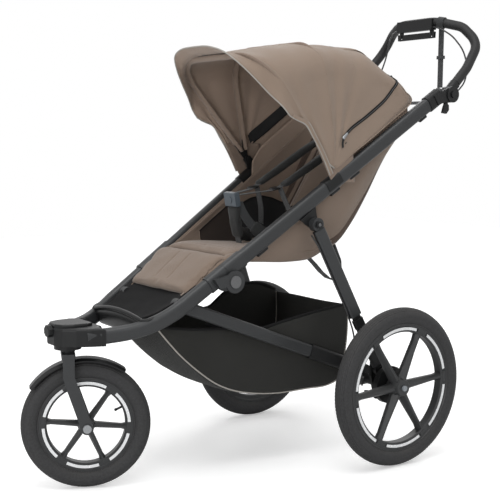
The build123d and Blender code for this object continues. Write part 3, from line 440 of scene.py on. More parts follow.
def smooth_span(points, between):
    """A smooth line through the points that keeps the points, with so many steps between two."""
    p = np.vstack([2 * points[0] - points[1], points, 2 * points[-1] - points[-2]])
    out = []
    for a, b, c, d in zip(p, p[1:], p[2:], p[3:]):
        span = [max(float(np.linalg.norm(v - u)), 1e-3) ** 0.5 for u, v in ((a, b), (b, c), (c, d))]
        first = ((b - a) / span[0] - (c - a) / (span[0] + span[1]) + (c - b) / span[1]) * span[1]
        last = ((c - b) / span[1] - (d - b) / (span[1] + span[2]) + (d - c) / span[2]) * span[1]
        t = np.linspace(0, 1, between, endpoint=False)[:, None]
        out.append((2 * t**3 - 3 * t**2 + 1) * b + (t**3 - 2 * t**2 + t) * first
                   + (-2 * t**3 + 3 * t**2) * c + (t**3 - t**2) * last)
    out.append(points[-1][None])
    return np.vstack(out)


def evenly(line, count):
    """The same line with its places evenly spaced."""
    line = np.array(line, float)
    run = np.concatenate([[0], np.cumsum(np.linalg.norm(np.diff(line, axis=0), axis=1))])
    wanted = np.linspace(0, run[-1], count)
    return np.stack([np.interp(wanted, run, line[:, k]) for k in range(line.shape[1])], axis=1)


def headings(line):
    """The direction of travel at each place of a line."""
    steps = np.gradient(line, axis=0)
    return steps / np.linalg.norm(steps, axis=1)[:, None]


def along(table, place):
    """Reads a value off a dictionary of places and values."""
    keys = sorted(table)
    return float(np.interp(place, keys, [table[k] for k in keys]))


def new_piece(name, places, faces, finish, widths=None):
    """A mesh piece from places in millimetres from the rear axle; widths are the places' UVs in metres."""
    mesh = bpy.data.meshes.new(name)
    mesh.from_pydata([at(*place) for place in places], [], faces)
    if widths is not None:
        layer = mesh.uv_layers.new(name="cloth")
        for corner in mesh.loops:
            layer.data[corner.index].uv = widths[corner.vertex_index]
    for key in (finish if isinstance(finish, (list, tuple)) else (finish,)):
        mesh.materials.append(finishes[key])
    mesh.shade_smooth()
    return add_object(name, mesh)


def sheet_of(name, rows, finish, thick=0.0, lining=False, ring=False, flip=False):
    """A curved sheet through rows of places, all rows the same length; ring joins each row's ends."""
    rows = np.array(rows, float)
    m, n = rows.shape[:2]
    faces = []
    for i in range(m - 1):
        for j in range(n if ring else n - 1):
            k = (j + 1) % n
            quad = (i * n + j, (i + 1) * n + j, (i + 1) * n + k, i * n + k)
            faces.append(quad[::-1] if flip else quad)
    down = np.zeros((m, n))
    down[1:] = np.cumsum(np.linalg.norm(np.diff(rows, axis=0), axis=2), axis=0)
    across = np.zeros((m, n))
    across[:, 1:] = np.cumsum(np.linalg.norm(np.diff(rows, axis=1), axis=2), axis=1)
    widths = np.stack([across, down], axis=2).reshape(-1, 2) / 1000
    names = (finish, lining) if lining else finish
    piece = new_piece(name, rows.reshape(-1, 3), faces, names, widths)
    if thick:
        skin = piece.modifiers.new("cloth_thickness", "SOLIDIFY")
        skin.thickness = thick / 1000
        skin.offset = -1
        if lining:
            skin.material_offset = 1
            skin.material_offset_rim = 0
        settle(piece)
    return piece


def settle(piece):
    """Applies the piece's modifiers."""
    evaluated = piece.evaluated_get(bpy.context.evaluated_depsgraph_get())
    mesh = bpy.data.meshes.new_from_object(evaluated)
    mesh.name = piece.name
    piece.modifiers.clear()
    piece.data = mesh
    mesh.shade_smooth()
    return piece


def swept(name, line, section, finish, side=None, closed=False):
    """A section, as (across, out) pairs, swept along a line. side is the direction that across keeps to."""
    line = np.array(line, float)
    count = len(line)
    section = np.array(section, float)
    if closed:
        heading = np.roll(line, -1, axis=0) - np.roll(line, 1, axis=0)
    else:
        heading = np.gradient(line, axis=0)
    heading /= np.linalg.norm(heading, axis=1)[:, None]
    sides = np.zeros_like(line)
    if side is None:
        guess = np.cross(heading[0], (0.13, 0.31, 0.94))
        for i in range(count):
            guess = guess - heading[i] * guess.dot(heading[i])
            guess /= np.linalg.norm(guess)
            sides[i] = guess
    else:
        wide = np.array(side, float)
        wide = np.broadcast_to(wide, line.shape) if wide.ndim == 1 else wide
        for i in range(count):
            s = wide[i] - heading[i] * wide[i].dot(heading[i])
            sides[i] = s / np.linalg.norm(s)
    outs = np.cross(sides, heading)
    n = len(section)
    places = (line[:, None] + sides[:, None] * section[None, :, :1] + outs[:, None] * section[None, :, 1:])
    faces = []
    for i in range(count if closed else count - 1):
        for j in range(n):
            a, b = i, (i + 1) % count
            k = (j + 1) % n
            faces.append((a * n + j, a * n + k, b * n + k, b * n + j))
    if not closed:
        faces += [tuple(range(n))[::-1], tuple((count - 1) * n + j for j in range(n))]
    return tidy_normals(new_piece(name, places.reshape(-1, 3), faces, finish))


def tidy_normals(piece, merge=0.0):
    """Turns the faces of a piece one way, and joins places nearer than merge, in metres."""
    work = bmesh.new()
    work.from_mesh(piece.data)
    if merge:
        bmesh.ops.remove_doubles(work, verts=work.verts, dist=merge)
    bmesh.ops.recalc_face_normals(work, faces=work.faces)
    work.to_mesh(piece.data)
    work.free()
    return piece


def read_places(mesh, what="co"):
    """A mesh's places, or its normals, as an array."""
    values = np.empty(len(mesh.vertices) * 3)
    mesh.vertices.foreach_get(what, values)
    return values.reshape(-1, 3)


def close_holes(piece):
    """Fills the open ends of a form and turns its faces outwards."""
    work = bmesh.new()
    work.from_mesh(piece.data)
    bmesh.ops.holes_fill(work, edges=work.edges)
    bmesh.ops.recalc_face_normals(work, faces=work.faces)
    work.to_mesh(piece.data)
    work.free()
    piece.data.shade_smooth()
    return piece


def cap_rings(piece, around):
    """Closes a form's first and last rings, each with so many places, and turns its faces outwards."""
    work = bmesh.new()
    work.from_mesh(piece.data)
    work.verts.ensure_lookup_table()
    last = len(work.verts) - around
    work.faces.new([work.verts[j] for j in range(around)])
    work.faces.new([work.verts[last + j] for j in range(around)][::-1])
    bmesh.ops.triangulate(work, faces=[f for f in work.faces if len(f.verts) > 4])
    bmesh.ops.recalc_face_normals(work, faces=work.faces)
    work.to_mesh(piece.data)
    work.free()
    piece.data.shade_smooth()
    return piece


def round_section(radius, points=10, tall=None):
    """A circle, or an oval when tall is given."""
    tall = radius if tall is None else tall
    turn = np.linspace(0, 2 * math.pi, points, endpoint=False)
    return np.stack([radius * np.cos(turn), tall * np.sin(turn)], axis=1)


def flat_section(width, thick):
    """Webbing: a flat strap with soft edges and a slightly ribbed face."""
    w, t = width / 2, thick / 2
    top = [(-w, 0), (-w + t * 0.7, t * 0.8)]
    ribs = max(4, int(width / 4))
    for k in range(ribs + 1):
        top.append((-w + t * 1.4 + (2 * w - 2.8 * t) * k / ribs, t * (1.0 if k % 2 else 0.86)))
    top += [(w - t * 0.7, t * 0.8), (w, 0)]
    return np.array(top + [(x, -y) for x, y in top[-2:0:-1]])


def surface_of(*pieces):
    """A search tree over finished pieces, for laying trims on them."""
    places, faces = [], []
    for piece in pieces:
        start = len(places)
        places += [piece.matrix_world @ v.co for v in piece.data.vertices]
        faces += [tuple(start + i for i in face.vertices) for face in piece.data.polygons]
    return BVHTree.FromPolygons(places, faces)


def laid_on(surface, line, lift, outside):
    """The line laid on a surface and lifted off it, with the surface's directions; outside gives its side."""
    laid, normals = [], []
    for place in line:
        hit, normal, _, _ = surface.find_nearest(at(*place))
        facing = Vector(outside(place))
        if normal.dot(facing) < 0:
            normal = -normal
        spot = (hit + normal * lift / 1000) * 1000
        laid.append((spot.x, spot.y - AXLE_TO_MIDDLE, spot.z))
        normals.append(tuple(normal))
    return np.array(laid), np.array(normals)


def trim(name, surface, line, section, finish, outside, lift=0.6, count=None):
    """A narrow strip or cord laid along a line on a surface."""
    places = smooth_line(line, count or 60)
    laid, normals = laid_on(surface, places, lift, outside)
    heading = headings(laid)
    return swept(name, laid, section, finish, side=np.cross(heading, normals))


def mirrored(piece, name):
    """The same piece on the other side."""
    mesh = piece.data.copy()
    mesh.name = name
    for v in mesh.vertices:
        v.co.x = -v.co.x
    mesh.flip_normals()
    return add_object(name, mesh)


def together(name, pieces):
    """Joins meshes into one piece, keeping their finishes."""
    work = bmesh.new()
    names = []
    for piece in pieces:
        before = len(work.faces)
        offset = len(names)
        work.from_mesh(piece.data)
        work.faces.ensure_lookup_table()
        for face in work.faces[before:]:
            face.material_index += offset
        names += list(piece.data.materials)
    mesh = bpy.data.meshes.new(name)
    work.to_mesh(mesh)
    work.free()
    for material in names:
        mesh.materials.append(material)
    joined = add_object(name, mesh)
    for piece in pieces:
        bpy.data.objects.remove(piece)
    return joined


# ---------------------------------------------------------------- canopy
# Each rib is a side line from its foot to its shoulder, as (y, z), then the top's middle.
CANOPY_HALF = 196.5
CANOPY_PIVOT = (-118, 768)        # of the bows, as (y, z)
RIBS = [
    ([(-124, 752), (-111, 757), (-92, 771), (-69, 787), (-3, 828), (83, 884), (124, 911), (133, 921),
      (131, 931), (112, 943)], (50, 1006)),
    ([(-126, 752), (-112, 790), (-94, 829), (-62, 905), (-27, 973)], (9, 1053)),
    ([(-127, 752), (-120, 790), (-112, 828), (-104, 905), (-96, 977)], (-87, 1064)),
    ([(-128, 752), (-128, 790), (-131, 828), (-143, 905), (-155, 977)], (-170, 1063)),
    ([(-129, 753), (-140, 773), (-160, 806), (-192, 862), (-208, 900), (-232, 950)], (-262, 1050)),
    ([(-129, 753), (-145, 768), (-168, 799), (-199, 846), (-226, 872), (-262, 924)], (-350, 1034)),
]
RIM_SIDE = [(-129, 753), (-146, 764), (-157, 776), (-170, 793), (-185, 812), (-205, 839), (-222, 859),
            (-247, 869), (-271, 879)]
RIM_RISE = [(200, 0), (197, 0.12), (178, 0.30), (158, 0.54), (139, 0.72), (108, 0.90), (60, 0.985), (0, 1)]
RIM_TOP = (-415, 1047)
LEG_SHARE = 0.42


def canopy_rib(side, middle, columns):
    """Half a rib, from its foot on the child's left to the middle of the top."""
    leg = int(columns * LEG_SHARE)
    foot = smooth_line(side, leg + 1)
    lower = [(CANOPY_HALF + 1.5 * math.sin(math.pi * k / leg), y, z) for k, (y, z) in enumerate(foot)]
    sy, sz = side[-1]
    arch = []
    for turn in np.linspace(0, math.pi / 2, 160):
        x = CANOPY_HALF * math.cos(turn) ** (2 / 2.9)
        rise = math.sin(turn) ** (2 / 2.9)
        arch.append((x, sy + (middle[0] - sy) * rise, sz + (middle[1] - sz) * rise))
    return np.vstack([lower[:-1], evenly(arch, columns - leg + 1)])


def canopy_rim(columns):
    """Half the front rim, from its foot to the middle of the visor."""
    leg = int(columns * LEG_SHARE)
    lower = [(CANOPY_HALF + 2, y, z) for y, z in smooth_line(RIM_SIDE, leg + 1)]
    (y0, z0), (y1, z1) = RIM_SIDE[-1], RIM_TOP
    arch = smooth_line([(x, y0 + (y1 - y0) * s, z0 + (z1 - z0) * s) for x, s in RIM_RISE], 200)
    return np.vstack([lower[:-1], evenly(arch, columns - leg + 1)])


def canopy_rows(columns=60, between=9):
    """The canopy's grid: rows run from foot to foot, from the rear edge to the rim."""
    ribs = [canopy_rib(side, middle, columns) for side, middle in RIBS] + [canopy_rim(columns)]
    ribs = np.array(ribs)
    rows = []
    count = (len(ribs) - 1) * between + 1
    across = [smooth_span(ribs[:, j], between) for j in range(ribs.shape[1])]
    half = np.stack(across, axis=1)
    heights = np.arange(count) / between
    rng = np.random.default_rng(7)
    waves = rng.uniform(0, 6.28, 6)
    for i in range(count):
        row = half[i].copy()
        gap = heights[i] - math.floor(heights[i])
        slack = math.sin(math.pi * gap) ** 2
        deep = (1.5, 3.5, 4.5, 3.0, 2.5, 3.0, 0.5)[min(int(heights[i]), 6)]
        for j in range(len(row)):
            share = j / (len(row) - 1)
            on_leg = share < LEG_SHARE
            sag = deep * slack
            fold = 0.8 * math.sin(waves[0] + 9 * share + 1.9 * heights[i]) + 0.6 * math.sin(
                waves[1] + 21 * share - 2.6 * heights[i])
            fade = min(1.0, 6 * share, heights[i] * 2.5, (count / between - heights[i]) * 2.0)
            if on_leg:
                row[j, 0] -= (sag * min(1, share * 5) + fold * 0.9) * max(fade, 0)
            else:
                up = (share - LEG_SHARE) / (1 - LEG_SHARE)
                row[j, 2] -= (sag * min(1, up * 1.6) + fold * 0.8) * max(fade, 0)
                row[j, 0] -= sag * (1 - up) * 0.8
        rows.append(np.vstack([row, row[-2::-1] * (-1, 1, 1)]))
    return np.array(rows)


def outwards(place):
    """Roughly outwards from the middle of the canopy."""
    return (place[0] / 190, (place[1] + 130) / 300, (place[2] - 850) / 150)


def bow_line(angle, top, half, corner, foot, count=110):
    """A bow in its plane through the canopy's pivot: leg, rounded corner, top, and the same back."""
    turn = math.radians(angle)
    half_line = [(half, foot), (half, top - corner)]
    half_line += [(half - corner + corner * math.cos(a), top - corner + corner * math.sin(a))
                  for a in np.linspace(0.1, math.pi / 2, 12)]
    half_line.append((0, top))
    half_line = evenly(half_line, count // 2)
    whole = np.vstack([half_line, half_line[-2::-1] * (-1, 1)])
    y, z = CANOPY_PIVOT
    return [(x, y + r * math.cos(turn), z + r * math.sin(turn)) for x, r in whole]


def make_canopy():
    """The hood: a lined skin with its piping, bindings, seams, zip, facings, window and flap."""
    rows = canopy_rows()
    # the skin's inner face takes the lightened lining cloth, painted light for the hood's shaded inside
    skin = sheet_of("canopy_skin", rows, "canopy_cloth", thick=1.2, lining="canopy_lining", flip=True)
    outer = surface_of(skin)
    parts = [skin]

    # light piping round the front edge, from foot to foot
    parts.append(swept("canopy_piping", evenly(rows[-1], 190), round_section(1.7, 8), "piping"))

    # front binding strip from the rim's kink down to the pivot, with its own light edges
    for side in (1, -1):
        strip = smooth_line([(side * 199.5, y, z) for y, z in
                             [(-262, 874), (-246, 868), (-221, 858), (-199, 828), (-179, 799), (-160, 767),
                              (-143, 735)]], 60)
        normal = np.array([(side, 0.02, 0.0)] * len(strip))
        heading = headings(strip)
        across = np.cross(heading, normal)
        if across[30][1] < 0:
            across = -across
        middle = strip + across * 5.0
        parts.append(swept("canopy_binding", middle, flat_section(10, 2.2), "canopy_cloth", side=across))
        parts.append(swept("canopy_binding_edge", strip + np.array((side * 0.6, 0, 0)), round_section(1.3, 8),
                              "piping"))
        parts.append(swept("canopy_binding_edge", (strip + across * 10.2 + np.array((side * 0.8, 0, 0)))[14:],
                              round_section(1.1, 8), "piping"))

    # edge hem along the bottom and rear edge
    parts.append(swept("canopy_hem", evenly(rows[0], 200), round_section(1.3, 8), "canopy_cloth"))

    # seam where the rear panel starts, and the seams over the bows
    for row, name in ((14, "rear_seam"), (27, "middle_seam"), (45, "front_seam")):
        laid, normals = laid_on(outer, evenly(rows[row], 150), 0.05, outwards)
        heading = headings(laid)
        parts.append(swept(name, laid, [(-2.4, 0), (-1.8, 0.22), (0, 0.32), (1.8, 0.22), (2.4, 0), (0, -0.5)],
                           "canopy_cloth", side=np.cross(heading, normals)))

    # zip along the side, over the rear corner and across the back
    near = [(197, -99, 828), (197, -77, 848), (197, -33, 874), (197, -11, 888), (197, 40, 924),
            (197, 70, 955), (190, 84, 972), (165, 86, 986), (120, 84, 993), (60, 80, 996), (0, 78, 997)]
    whole = near + [(-x, y, z) for x, y, z in near[-2::-1]]
    parts.append(trim("canopy_zip_tape", outer, whole, flat_section(9.0, 1.6), "black_cloth", outwards, 0.8,
                      220))
    parts.append(trim("canopy_zip_teeth", outer, whole, round_section(1.5, 6, 0.9), "cable_sheath", outwards,
                      1.9, 220))
    for side in (1, -1):
        pull = smooth_line([(side * 199.4, -99, 829), (side * 201.2, -103, 822), (side * 201.0, -105, 812),
                            (side * 200.6, -103, 803)], 16)
        parts.append(swept("zip_pull", pull, flat_section(6.5, 1.8), "black_plastic", side=(0, 1, 0.1)))
        slider = smooth_line([(side * 199.6, -88, 838), (side * 200.4, -97, 831), (side * 200.0, -103, 825)],
                             10)
        parts.append(swept("zip_slider", slider, round_section(4.0, 10, 2.2), "steel", side=(0, 0.6, 0.8)))

    # taupe facings inside the feet, down to the tubes, and the mesh strip inside along the zip
    for side in (1, -1):
        facing = []
        for z in np.linspace(716, 812, 14):
            front = along({716: -130, 735: -143, 767: -160, 799: -178, 812: -186}, z)
            back = along({716: -56, 812: -68}, z)
            facing.append([(side * (193.4 - 0.8 * math.sin(4 * share + z * 0.05)),
                            front + (back - front) * share, z)
                           for share in np.linspace(0, 1, 16)])
        parts.append(tidy_normals(sheet_of("canopy_facing", facing, "canopy_sleeve", thick=1.4)))
        inside = [(side * 195, y, z) for y, z in ((-104, 822), (-84, 836), (-60, 852), (-20, 880), (20, 908),
                                                  (60, 942), (80, 966))]
        parts.append(trim("window_inside", outer, inside, flat_section(30, 1.0), "liner_mesh",
                          lambda place: [-c for c in outwards(place)], 2.2, 60))
        parts.append(trim("window_inside_edge", outer, [(x, y + 9, z - 13) for x, y, z in inside],
                          round_section(1.6, 8), "black_cloth", lambda place: [-c for c in outwards(place)],
                          2.4, 60))

    # mesh window at the back of the top, with a flap over it
    window, flap = [], []
    for row in rows[5:17]:
        lying = [p for p in row if abs(p[0]) < 112 and p[2] > 930]
        window.append(laid_on(outer, evenly(lying, 30), 0.7, outwards)[0])
    parts.append(sheet_of("canopy_window", window, "liner_mesh", thick=0.5, flip=True))
    for i in range(3, 18):
        lying = [p for p in rows[i] if abs(p[0]) < 140 and p[2] > 925]
        line = evenly(lying, 44)
        free = (17 - i) / 14
        laid, normals = laid_on(outer, line, -1.9 + 3.4 * min(1.0, (17 - i) / 3) + 5.0 * free ** 1.3,
                                outwards)
        lifted = laid.copy()
        for j in range(len(lifted)):
            edge = abs(j / (len(lifted) - 1) * 2 - 1)
            ripple = 1.2 * math.sin(9 * j / len(lifted) + 2.0) * free
            lifted[j] += normals[j] * (ripple - 2.2 * max(0.0, edge - 0.9) * 10 * (1 - free * 0.6))
        flap.append(lifted)
    parts.append(sheet_of("canopy_flap", flap, "canopy_cloth", thick=1.3, flip=True))
    parts.append(swept("flap_hem", flap[0], round_section(1.5, 8), "canopy_cloth"))
    return together("canopy", parts)


canopy = make_canopy()
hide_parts("canopy_front_panel", "canopy_rear_panel", "canopy_visor")
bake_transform(canopy)

front_sleeve = swept("front_bow_sleeve", bow_line(132, 343.9, 183.2, 88, 30), round_section(9.5, 16, 5.2),
                     "canopy_sleeve", side=None)
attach(front_sleeve, "canopy_front")
middle_sleeve = swept("middle_bow_sleeve", bow_line(100, 291.9, 187.1, 88, 26), round_section(9.0, 16, 5.0),
                      "canopy_sleeve", side=None)
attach(middle_sleeve, "canopy_middle")


# ---------------------------------------------------------------- padded pieces
def swell(piece, size, cap, pressure=4.0, smooth=1):
    """Puffs a closed fabric form with cloth pressure, keeps each point within cap, and smooths it."""
    remesh = piece.modifiers.new("even_mesh", "REMESH")
    remesh.mode = "VOXEL"
    remesh.voxel_size = size / 1000
    settle(piece)
    before = read_places(piece.data)
    cloth_mod = piece.modifiers.new("puff", "CLOTH")
    given = cloth_mod.settings
    given.quality = 4
    given.use_pressure = True
    given.uniform_pressure_force = pressure
    given.effector_weights.gravity = 0
    given.tension_stiffness = given.compression_stiffness = 12
    given.bending_stiffness = 1.5
    cloth_mod.collision_settings.use_collision = False
    for step in range(1, 21):
        bpy.context.scene.frame_set(step)
    after = settle_shape(piece)
    piece.modifiers.clear()
    bpy.context.scene.frame_set(1)
    moved = after - before
    far = np.linalg.norm(moved, axis=1)[:, None]
    moved *= np.minimum(1.0, (cap / 1000) / np.maximum(far, 1e-9))
    piece.data.vertices.foreach_set("co", (before + moved).ravel())
    finer = piece.modifiers.new("smooth", "SUBSURF")
    finer.levels = finer.render_levels = smooth
    settle(piece)
    return piece


def settle_shape(piece):
    """Where the piece's modifiers put its points."""
    evaluated = piece.evaluated_get(bpy.context.evaluated_depsgraph_get())
    places = read_places(evaluated.to_mesh())
    evaluated.to_mesh_clear()
    return places


def end_tuck(near, corner):
    """How full a pad is so near to its end: a quarter round of the corner's size."""
    return math.sqrt(max(0.0, 1 - max(0.0, 1 - near / corner) ** 2))


def pad_ring(side, tall, corner, rim, crown, tuck, columns):
    """The outline across a pad, as (across, up) pairs: thin at its edges, with a crown on top."""
    ring = []
    for turn in np.linspace(0, 2 * math.pi, 2 * columns, endpoint=False):
        c, s = math.cos(turn), math.sin(turn)
        x = side * math.copysign(abs(c) ** 0.35, c)
        edge = min(1.0, (side - abs(x)) / corner)
        up = tall * math.copysign(abs(s) ** 0.7, s) * max(rim, edge ** 0.5)
        if s > 0:
            up += crown * (1 - (x / side) ** 2) * tuck
        ring.append((x, up))
    return ring


def cushion_form(name, path, half, thick, finish, corner=10, columns=26, crown=3.0):
    """A closed pad on a path of (y, z) middles, rounded at its edges; half is its half width, or several."""
    path = np.array(path, float)
    line = smooth_line([(0, y, z) for y, z in path], 40)
    run = np.linspace(0, 1, len(line))
    wide = np.interp(run, np.linspace(0, 1, len(np.atleast_1d(half))), np.atleast_1d(half))
    heading = headings(line)
    normal = np.cross(np.array((1.0, 0, 0)), heading)
    if normal[:, 2].mean() < 0:
        normal = -normal
    length = float(np.linalg.norm(np.diff(line, axis=0), axis=1).sum())
    rows = []
    for i, place in enumerate(line):
        tuck = end_tuck(min(run[i], 1 - run[i]) * length, corner)
        ring = pad_ring(wide[i] - corner * (1 - tuck) * 0.8, thick / 2 * max(0.12, tuck), corner, 0.2, crown,
                        tuck, columns)
        rows.append([place + normal[i] * up + np.array((x, 0, 0)) for x, up in ring])
    return cap_rings(sheet_of(name, rows, finish, ring=True), 2 * columns)


def sew(piece, channels, depth=2.6, width=4.0, pucker=0.5):
    """Pulls seams into a pad: each channel gives the distance in millimetres from its line, and on or off."""
    mesh = piece.data
    places, normals = read_places(mesh), read_places(mesh, "normal")
    local = places * 1000 - (0, AXLE_TO_MIDDLE, 0)
    pull = np.zeros(len(places))
    for channel in channels:
        away, along_it = channel(local, normals)
        bead = 1 + pucker * 0.4 * np.sin(along_it / 3.2)
        pull = np.maximum(pull, np.exp(-(away / width) ** 2) * bead)
    places -= normals * (pull * depth / 1000)[:, None]
    mesh.vertices.foreach_set("co", places.ravel())
    mesh.update()


def lump(piece, height, size, seed):
    """Gives soft fabric small uneven rises, from a few seeded slow waves."""
    rng = np.random.default_rng(seed)
    mesh = piece.data
    places, normals = read_places(mesh), read_places(mesh, "normal")
    rise = np.zeros(len(places))
    for _ in range(9):
        way = rng.normal(size=3)
        way /= np.linalg.norm(way)
        rise += np.sin(places @ way * 6.283 / (size / 1000) * rng.uniform(0.6, 1.7) + rng.uniform(0, 6.28))
    places += normals * (rise / 4 * height / 1000)[:, None]
    mesh.vertices.foreach_set("co", places.ravel())
    mesh.update()


# ---------------------------------------------------------------- seat shell
LOW_CURVE = {-398: 533, -380: 531, -300: 525, -226: 520, -150: 524, -100: 545, -62: 560, 8: 640, 71: 742,
             123: 812, 160: 868}


TUBE_X, TUBE_SPLAY = 193.8, 0.0844      # an upper tube's middle over the axle, and its drift along Y
TUBE_Z, TUBE_RISE = 795.3, 0.6617


def tube_side(y):
    """How far across the left upper tube's middle is."""
    return TUBE_X + TUBE_SPLAY * y


def tube_height_at(y):
    """How high the upper tubes' middles are."""
    return TUBE_Z + TUBE_RISE * y


def low_line(y):
    """How high the seat shell's lower edge is."""
    keys = sorted(LOW_CURVE)
    fine = smooth_span(np.array([(0, k, LOW_CURVE[k]) for k in keys], float), 8)
    return float(np.interp(y, fine[:, 1], fine[:, 2]))


def make_seat_walls():
    """The fabric sides from under the upper tubes down to the seat's low line, bowed out a little."""
    rows = []
    for y in np.linspace(-398, 158, 64):
        rows.append([wall_place(y, t) for t in np.linspace(0, 1, 22)])
    left = tidy_normals(sheet_of("seat_wall_left", rows, "seat_cloth", thick=2.0))
    right = mirrored(left, "seat_wall_right")
    return left, right


def wall_place(y, t):
    """A place on the left fabric side: t from its top at the tube down to its low line."""
    top = np.array((tube_side(y) - 16.5, y, tube_height_at(y) + 3))
    low = np.array((129.5 + 3 * math.sin((y + 398) / 556 * math.pi), y, low_line(y)))
    drop = top[2] - low[2]
    middle = (top + low) / 2 + np.array((min(10.0, drop * 0.10) + 8, 0, -drop * 0.10))
    place = (1 - t) ** 2 * top + 2 * t * (1 - t) * middle + t ** 2 * low
    wave = 0.9 * math.sin(0.045 * y + 7 * t) + 0.7 * math.sin(0.021 * y - 4 * t)
    place[0] += wave * math.sin(math.pi * t)
    return place


def make_wall_linings():
    """Inside the fabric sides: a dark mesh vent in front, and the black hip liner that rises in an arc."""
    parts = []
    vent = []
    for y in np.linspace(-300, -176, 26):
        drop = tube_height_at(y) + 3 - low_line(y)
        vent.append([wall_place(y, t) - (3.0, 0, 0) for t in np.linspace(min(0.4, 17 / drop), 0.97, 16)])
    parts.append(sheet_of("wall_vent", vent, "vent_mesh", thick=1.0))
    edge = [row[0] - (0.6, 0, 0) for row in vent]
    parts.append(swept("wall_vent_edge", edge, round_section(1.5, 8), "black_cloth"))
    parts.append(swept("wall_vent_edge", [p - (0.6, 0, 0) for p in vent[0]], round_section(1.2, 8),
                       "seat_cloth"))
    arc = {-178: 566, -170: 606, -160: 634, -148: 651, -120: 662, -85: 667, -50: 660, -20: 646, 12: 626}
    hip = []
    for y in np.linspace(-178, 8, 34):
        top, low = along(arc, y), low_line(y) + 1
        row = []
        for z in np.linspace(max(top, low + 2), low, 16):
            share = fall_to(lambda t: wall_place(y, t)[2] - z)
            row.append(wall_place(y, share) - (4.4, 0, 0))
        hip.append(row)
    parts.append(sheet_of("hip_wall", hip, "liner_mesh", thick=2.0))
    parts.append(swept("hip_wall_hem", [row[0] - (0.8, 0, 0) for row in hip], round_section(2.0, 8),
                       "black_cloth"))
    for piece in parts:
        tidy_normals(piece)
    return parts + [mirrored(piece, piece.name) for piece in parts]


def fall_to(gap):
    """Where a falling function passes zero between 0 and 1."""
    low, high = 0.0, 1.0
    for _ in range(26):
        middle = (low + high) / 2
        low, high = (middle, high) if gap(middle) > 0 else (low, middle)
    return low


def make_seat_bottom():
    """The shell under the cushion, a little hollow across."""
    rows = []
    for y in np.linspace(-398, -66, 36):
        z = low_line(y)
        rows.append([(x, y, z - 6 * (1 - (x / 130) ** 2)) for x in np.linspace(-130, 130, 27)])
    return tidy_normals(sheet_of("seat_bottom", rows, "seat_cloth", thick=2.0))


def make_gusset():
    """The darker folded channel where the seat's wall meets the backrest's skin."""
    parts = []
    for side in (1, -1):
        line = smooth_line([(side * 134, y, low_line(y) + 2) for y in (-120, -90, -62, -20, 30, 80, 130,
                                                                       158)], 70)
        heading = headings(line)
        inward = np.cross(heading, np.array((1.0, 0, 0)))
        if inward[35][1] > 0:
            inward = -inward
        share = np.linspace(0, 1, 70)[:, None]
        middle = line + inward * (14 + 10 * share) + np.array((side * 8.5, 0, 0)) + side * np.array(
            (1.0, 0, 0)) * 16 * share
        parts.append(swept("gusset", middle,
                           [(-11, 0), (-8, 1.6), (0, 0.4), (8, 1.6), (11, 0), (8, -1.2), (0, -1.6),
                                              (-8, -1.2)], "gusset_cloth", side=inward))
    return parts


def make_inner_skirt():
    """Dark lining that closes the gap between each upper tube and the canopy."""
    rows = []
    for y in np.linspace(-112, 128, 44):
        foot = tube_height_at(y) - 8
        rise = min(70.0, 44 + 26 * (y + 122) / 40) if y < 80 else 70 - 30 * (y - 80) / 48
        row = []
        for t in np.linspace(0, 1, 8):
            row.append((tube_side(y) - 12 - 6 * t + 1.2 * math.sin(y * 0.07 + t * 3), y, foot + rise * t))
        rows.append(row)
    # the lining cloth here is lightened beyond the taupe's own colour: painted light
    left = tidy_normals(sheet_of("inner_skirt", rows, "canopy_lining", thick=1.4))
    return left, mirrored(left, "inner_skirt_right")


def make_tube_bands():
    """The seat's edge, wrapped round the lower inside of each upper tube."""
    rows = []
    for y in np.linspace(-392, -128, 40):
        x, z = tube_side(y), tube_height_at(y)
        rows.append([(x - 13.9 + 0.3 * math.sin(y * 0.09), y, z + 9.0), (x - 14.6, y, z + 4),
                     (x - 15.4, y, z - 3), (x - 16.4, y, z - 8)])
    left = tidy_normals(sheet_of("tube_band", rows, "seat_cloth", thick=1.4))
    return [left, mirrored(left, "tube_band")]


PIVOT = np.array((0.0, -62.0, 582.0))
BACK_ANGLE = math.radians(56.5)
RISE = np.array((0.0, math.cos(BACK_ANGLE), math.sin(BACK_ANGLE)))
FACE = np.array((0.0, -math.sin(BACK_ANGLE), math.cos(BACK_ANGLE)))


def on_back(x, s, t):
    """A place on the backrest: across, up from its pivot, and out of its front face."""
    return PIVOT + np.array((x, 0, 0)) + RISE * s + FACE * t


def back_pad(name, x0, x1, s0, s1, t0, t1, finish, corner=9, crown=2.0):
    """A closed pad on the backrest between two heights, ready to be puffed."""
    rows = []
    columns = 28
    half, middle = (x1 - x0) / 2, (x1 + x0) / 2
    for s in np.linspace(s0, s1, 36):
        tuck = end_tuck(min(s - s0, s1 - s), corner)
        ring = pad_ring(half - corner * (1 - tuck) * 0.9, (t1 - t0) / 2 * max(0.15, tuck), corner, 0.25,
                        crown, tuck, columns)
        rows.append([on_back(middle + x, s, (t0 + t1) / 2 + up) for x, up in ring])
    return cap_rings(sheet_of(name, rows, finish, ring=True), 2 * columns)


seat_base = together("seat_shell_cloth", list(make_seat_walls()) + [make_seat_bottom()] + make_gusset()
                     + make_wall_linings() + make_tube_bands() + list(make_inner_skirt()))
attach(seat_base, "upper_frame")
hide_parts("seat_shell")

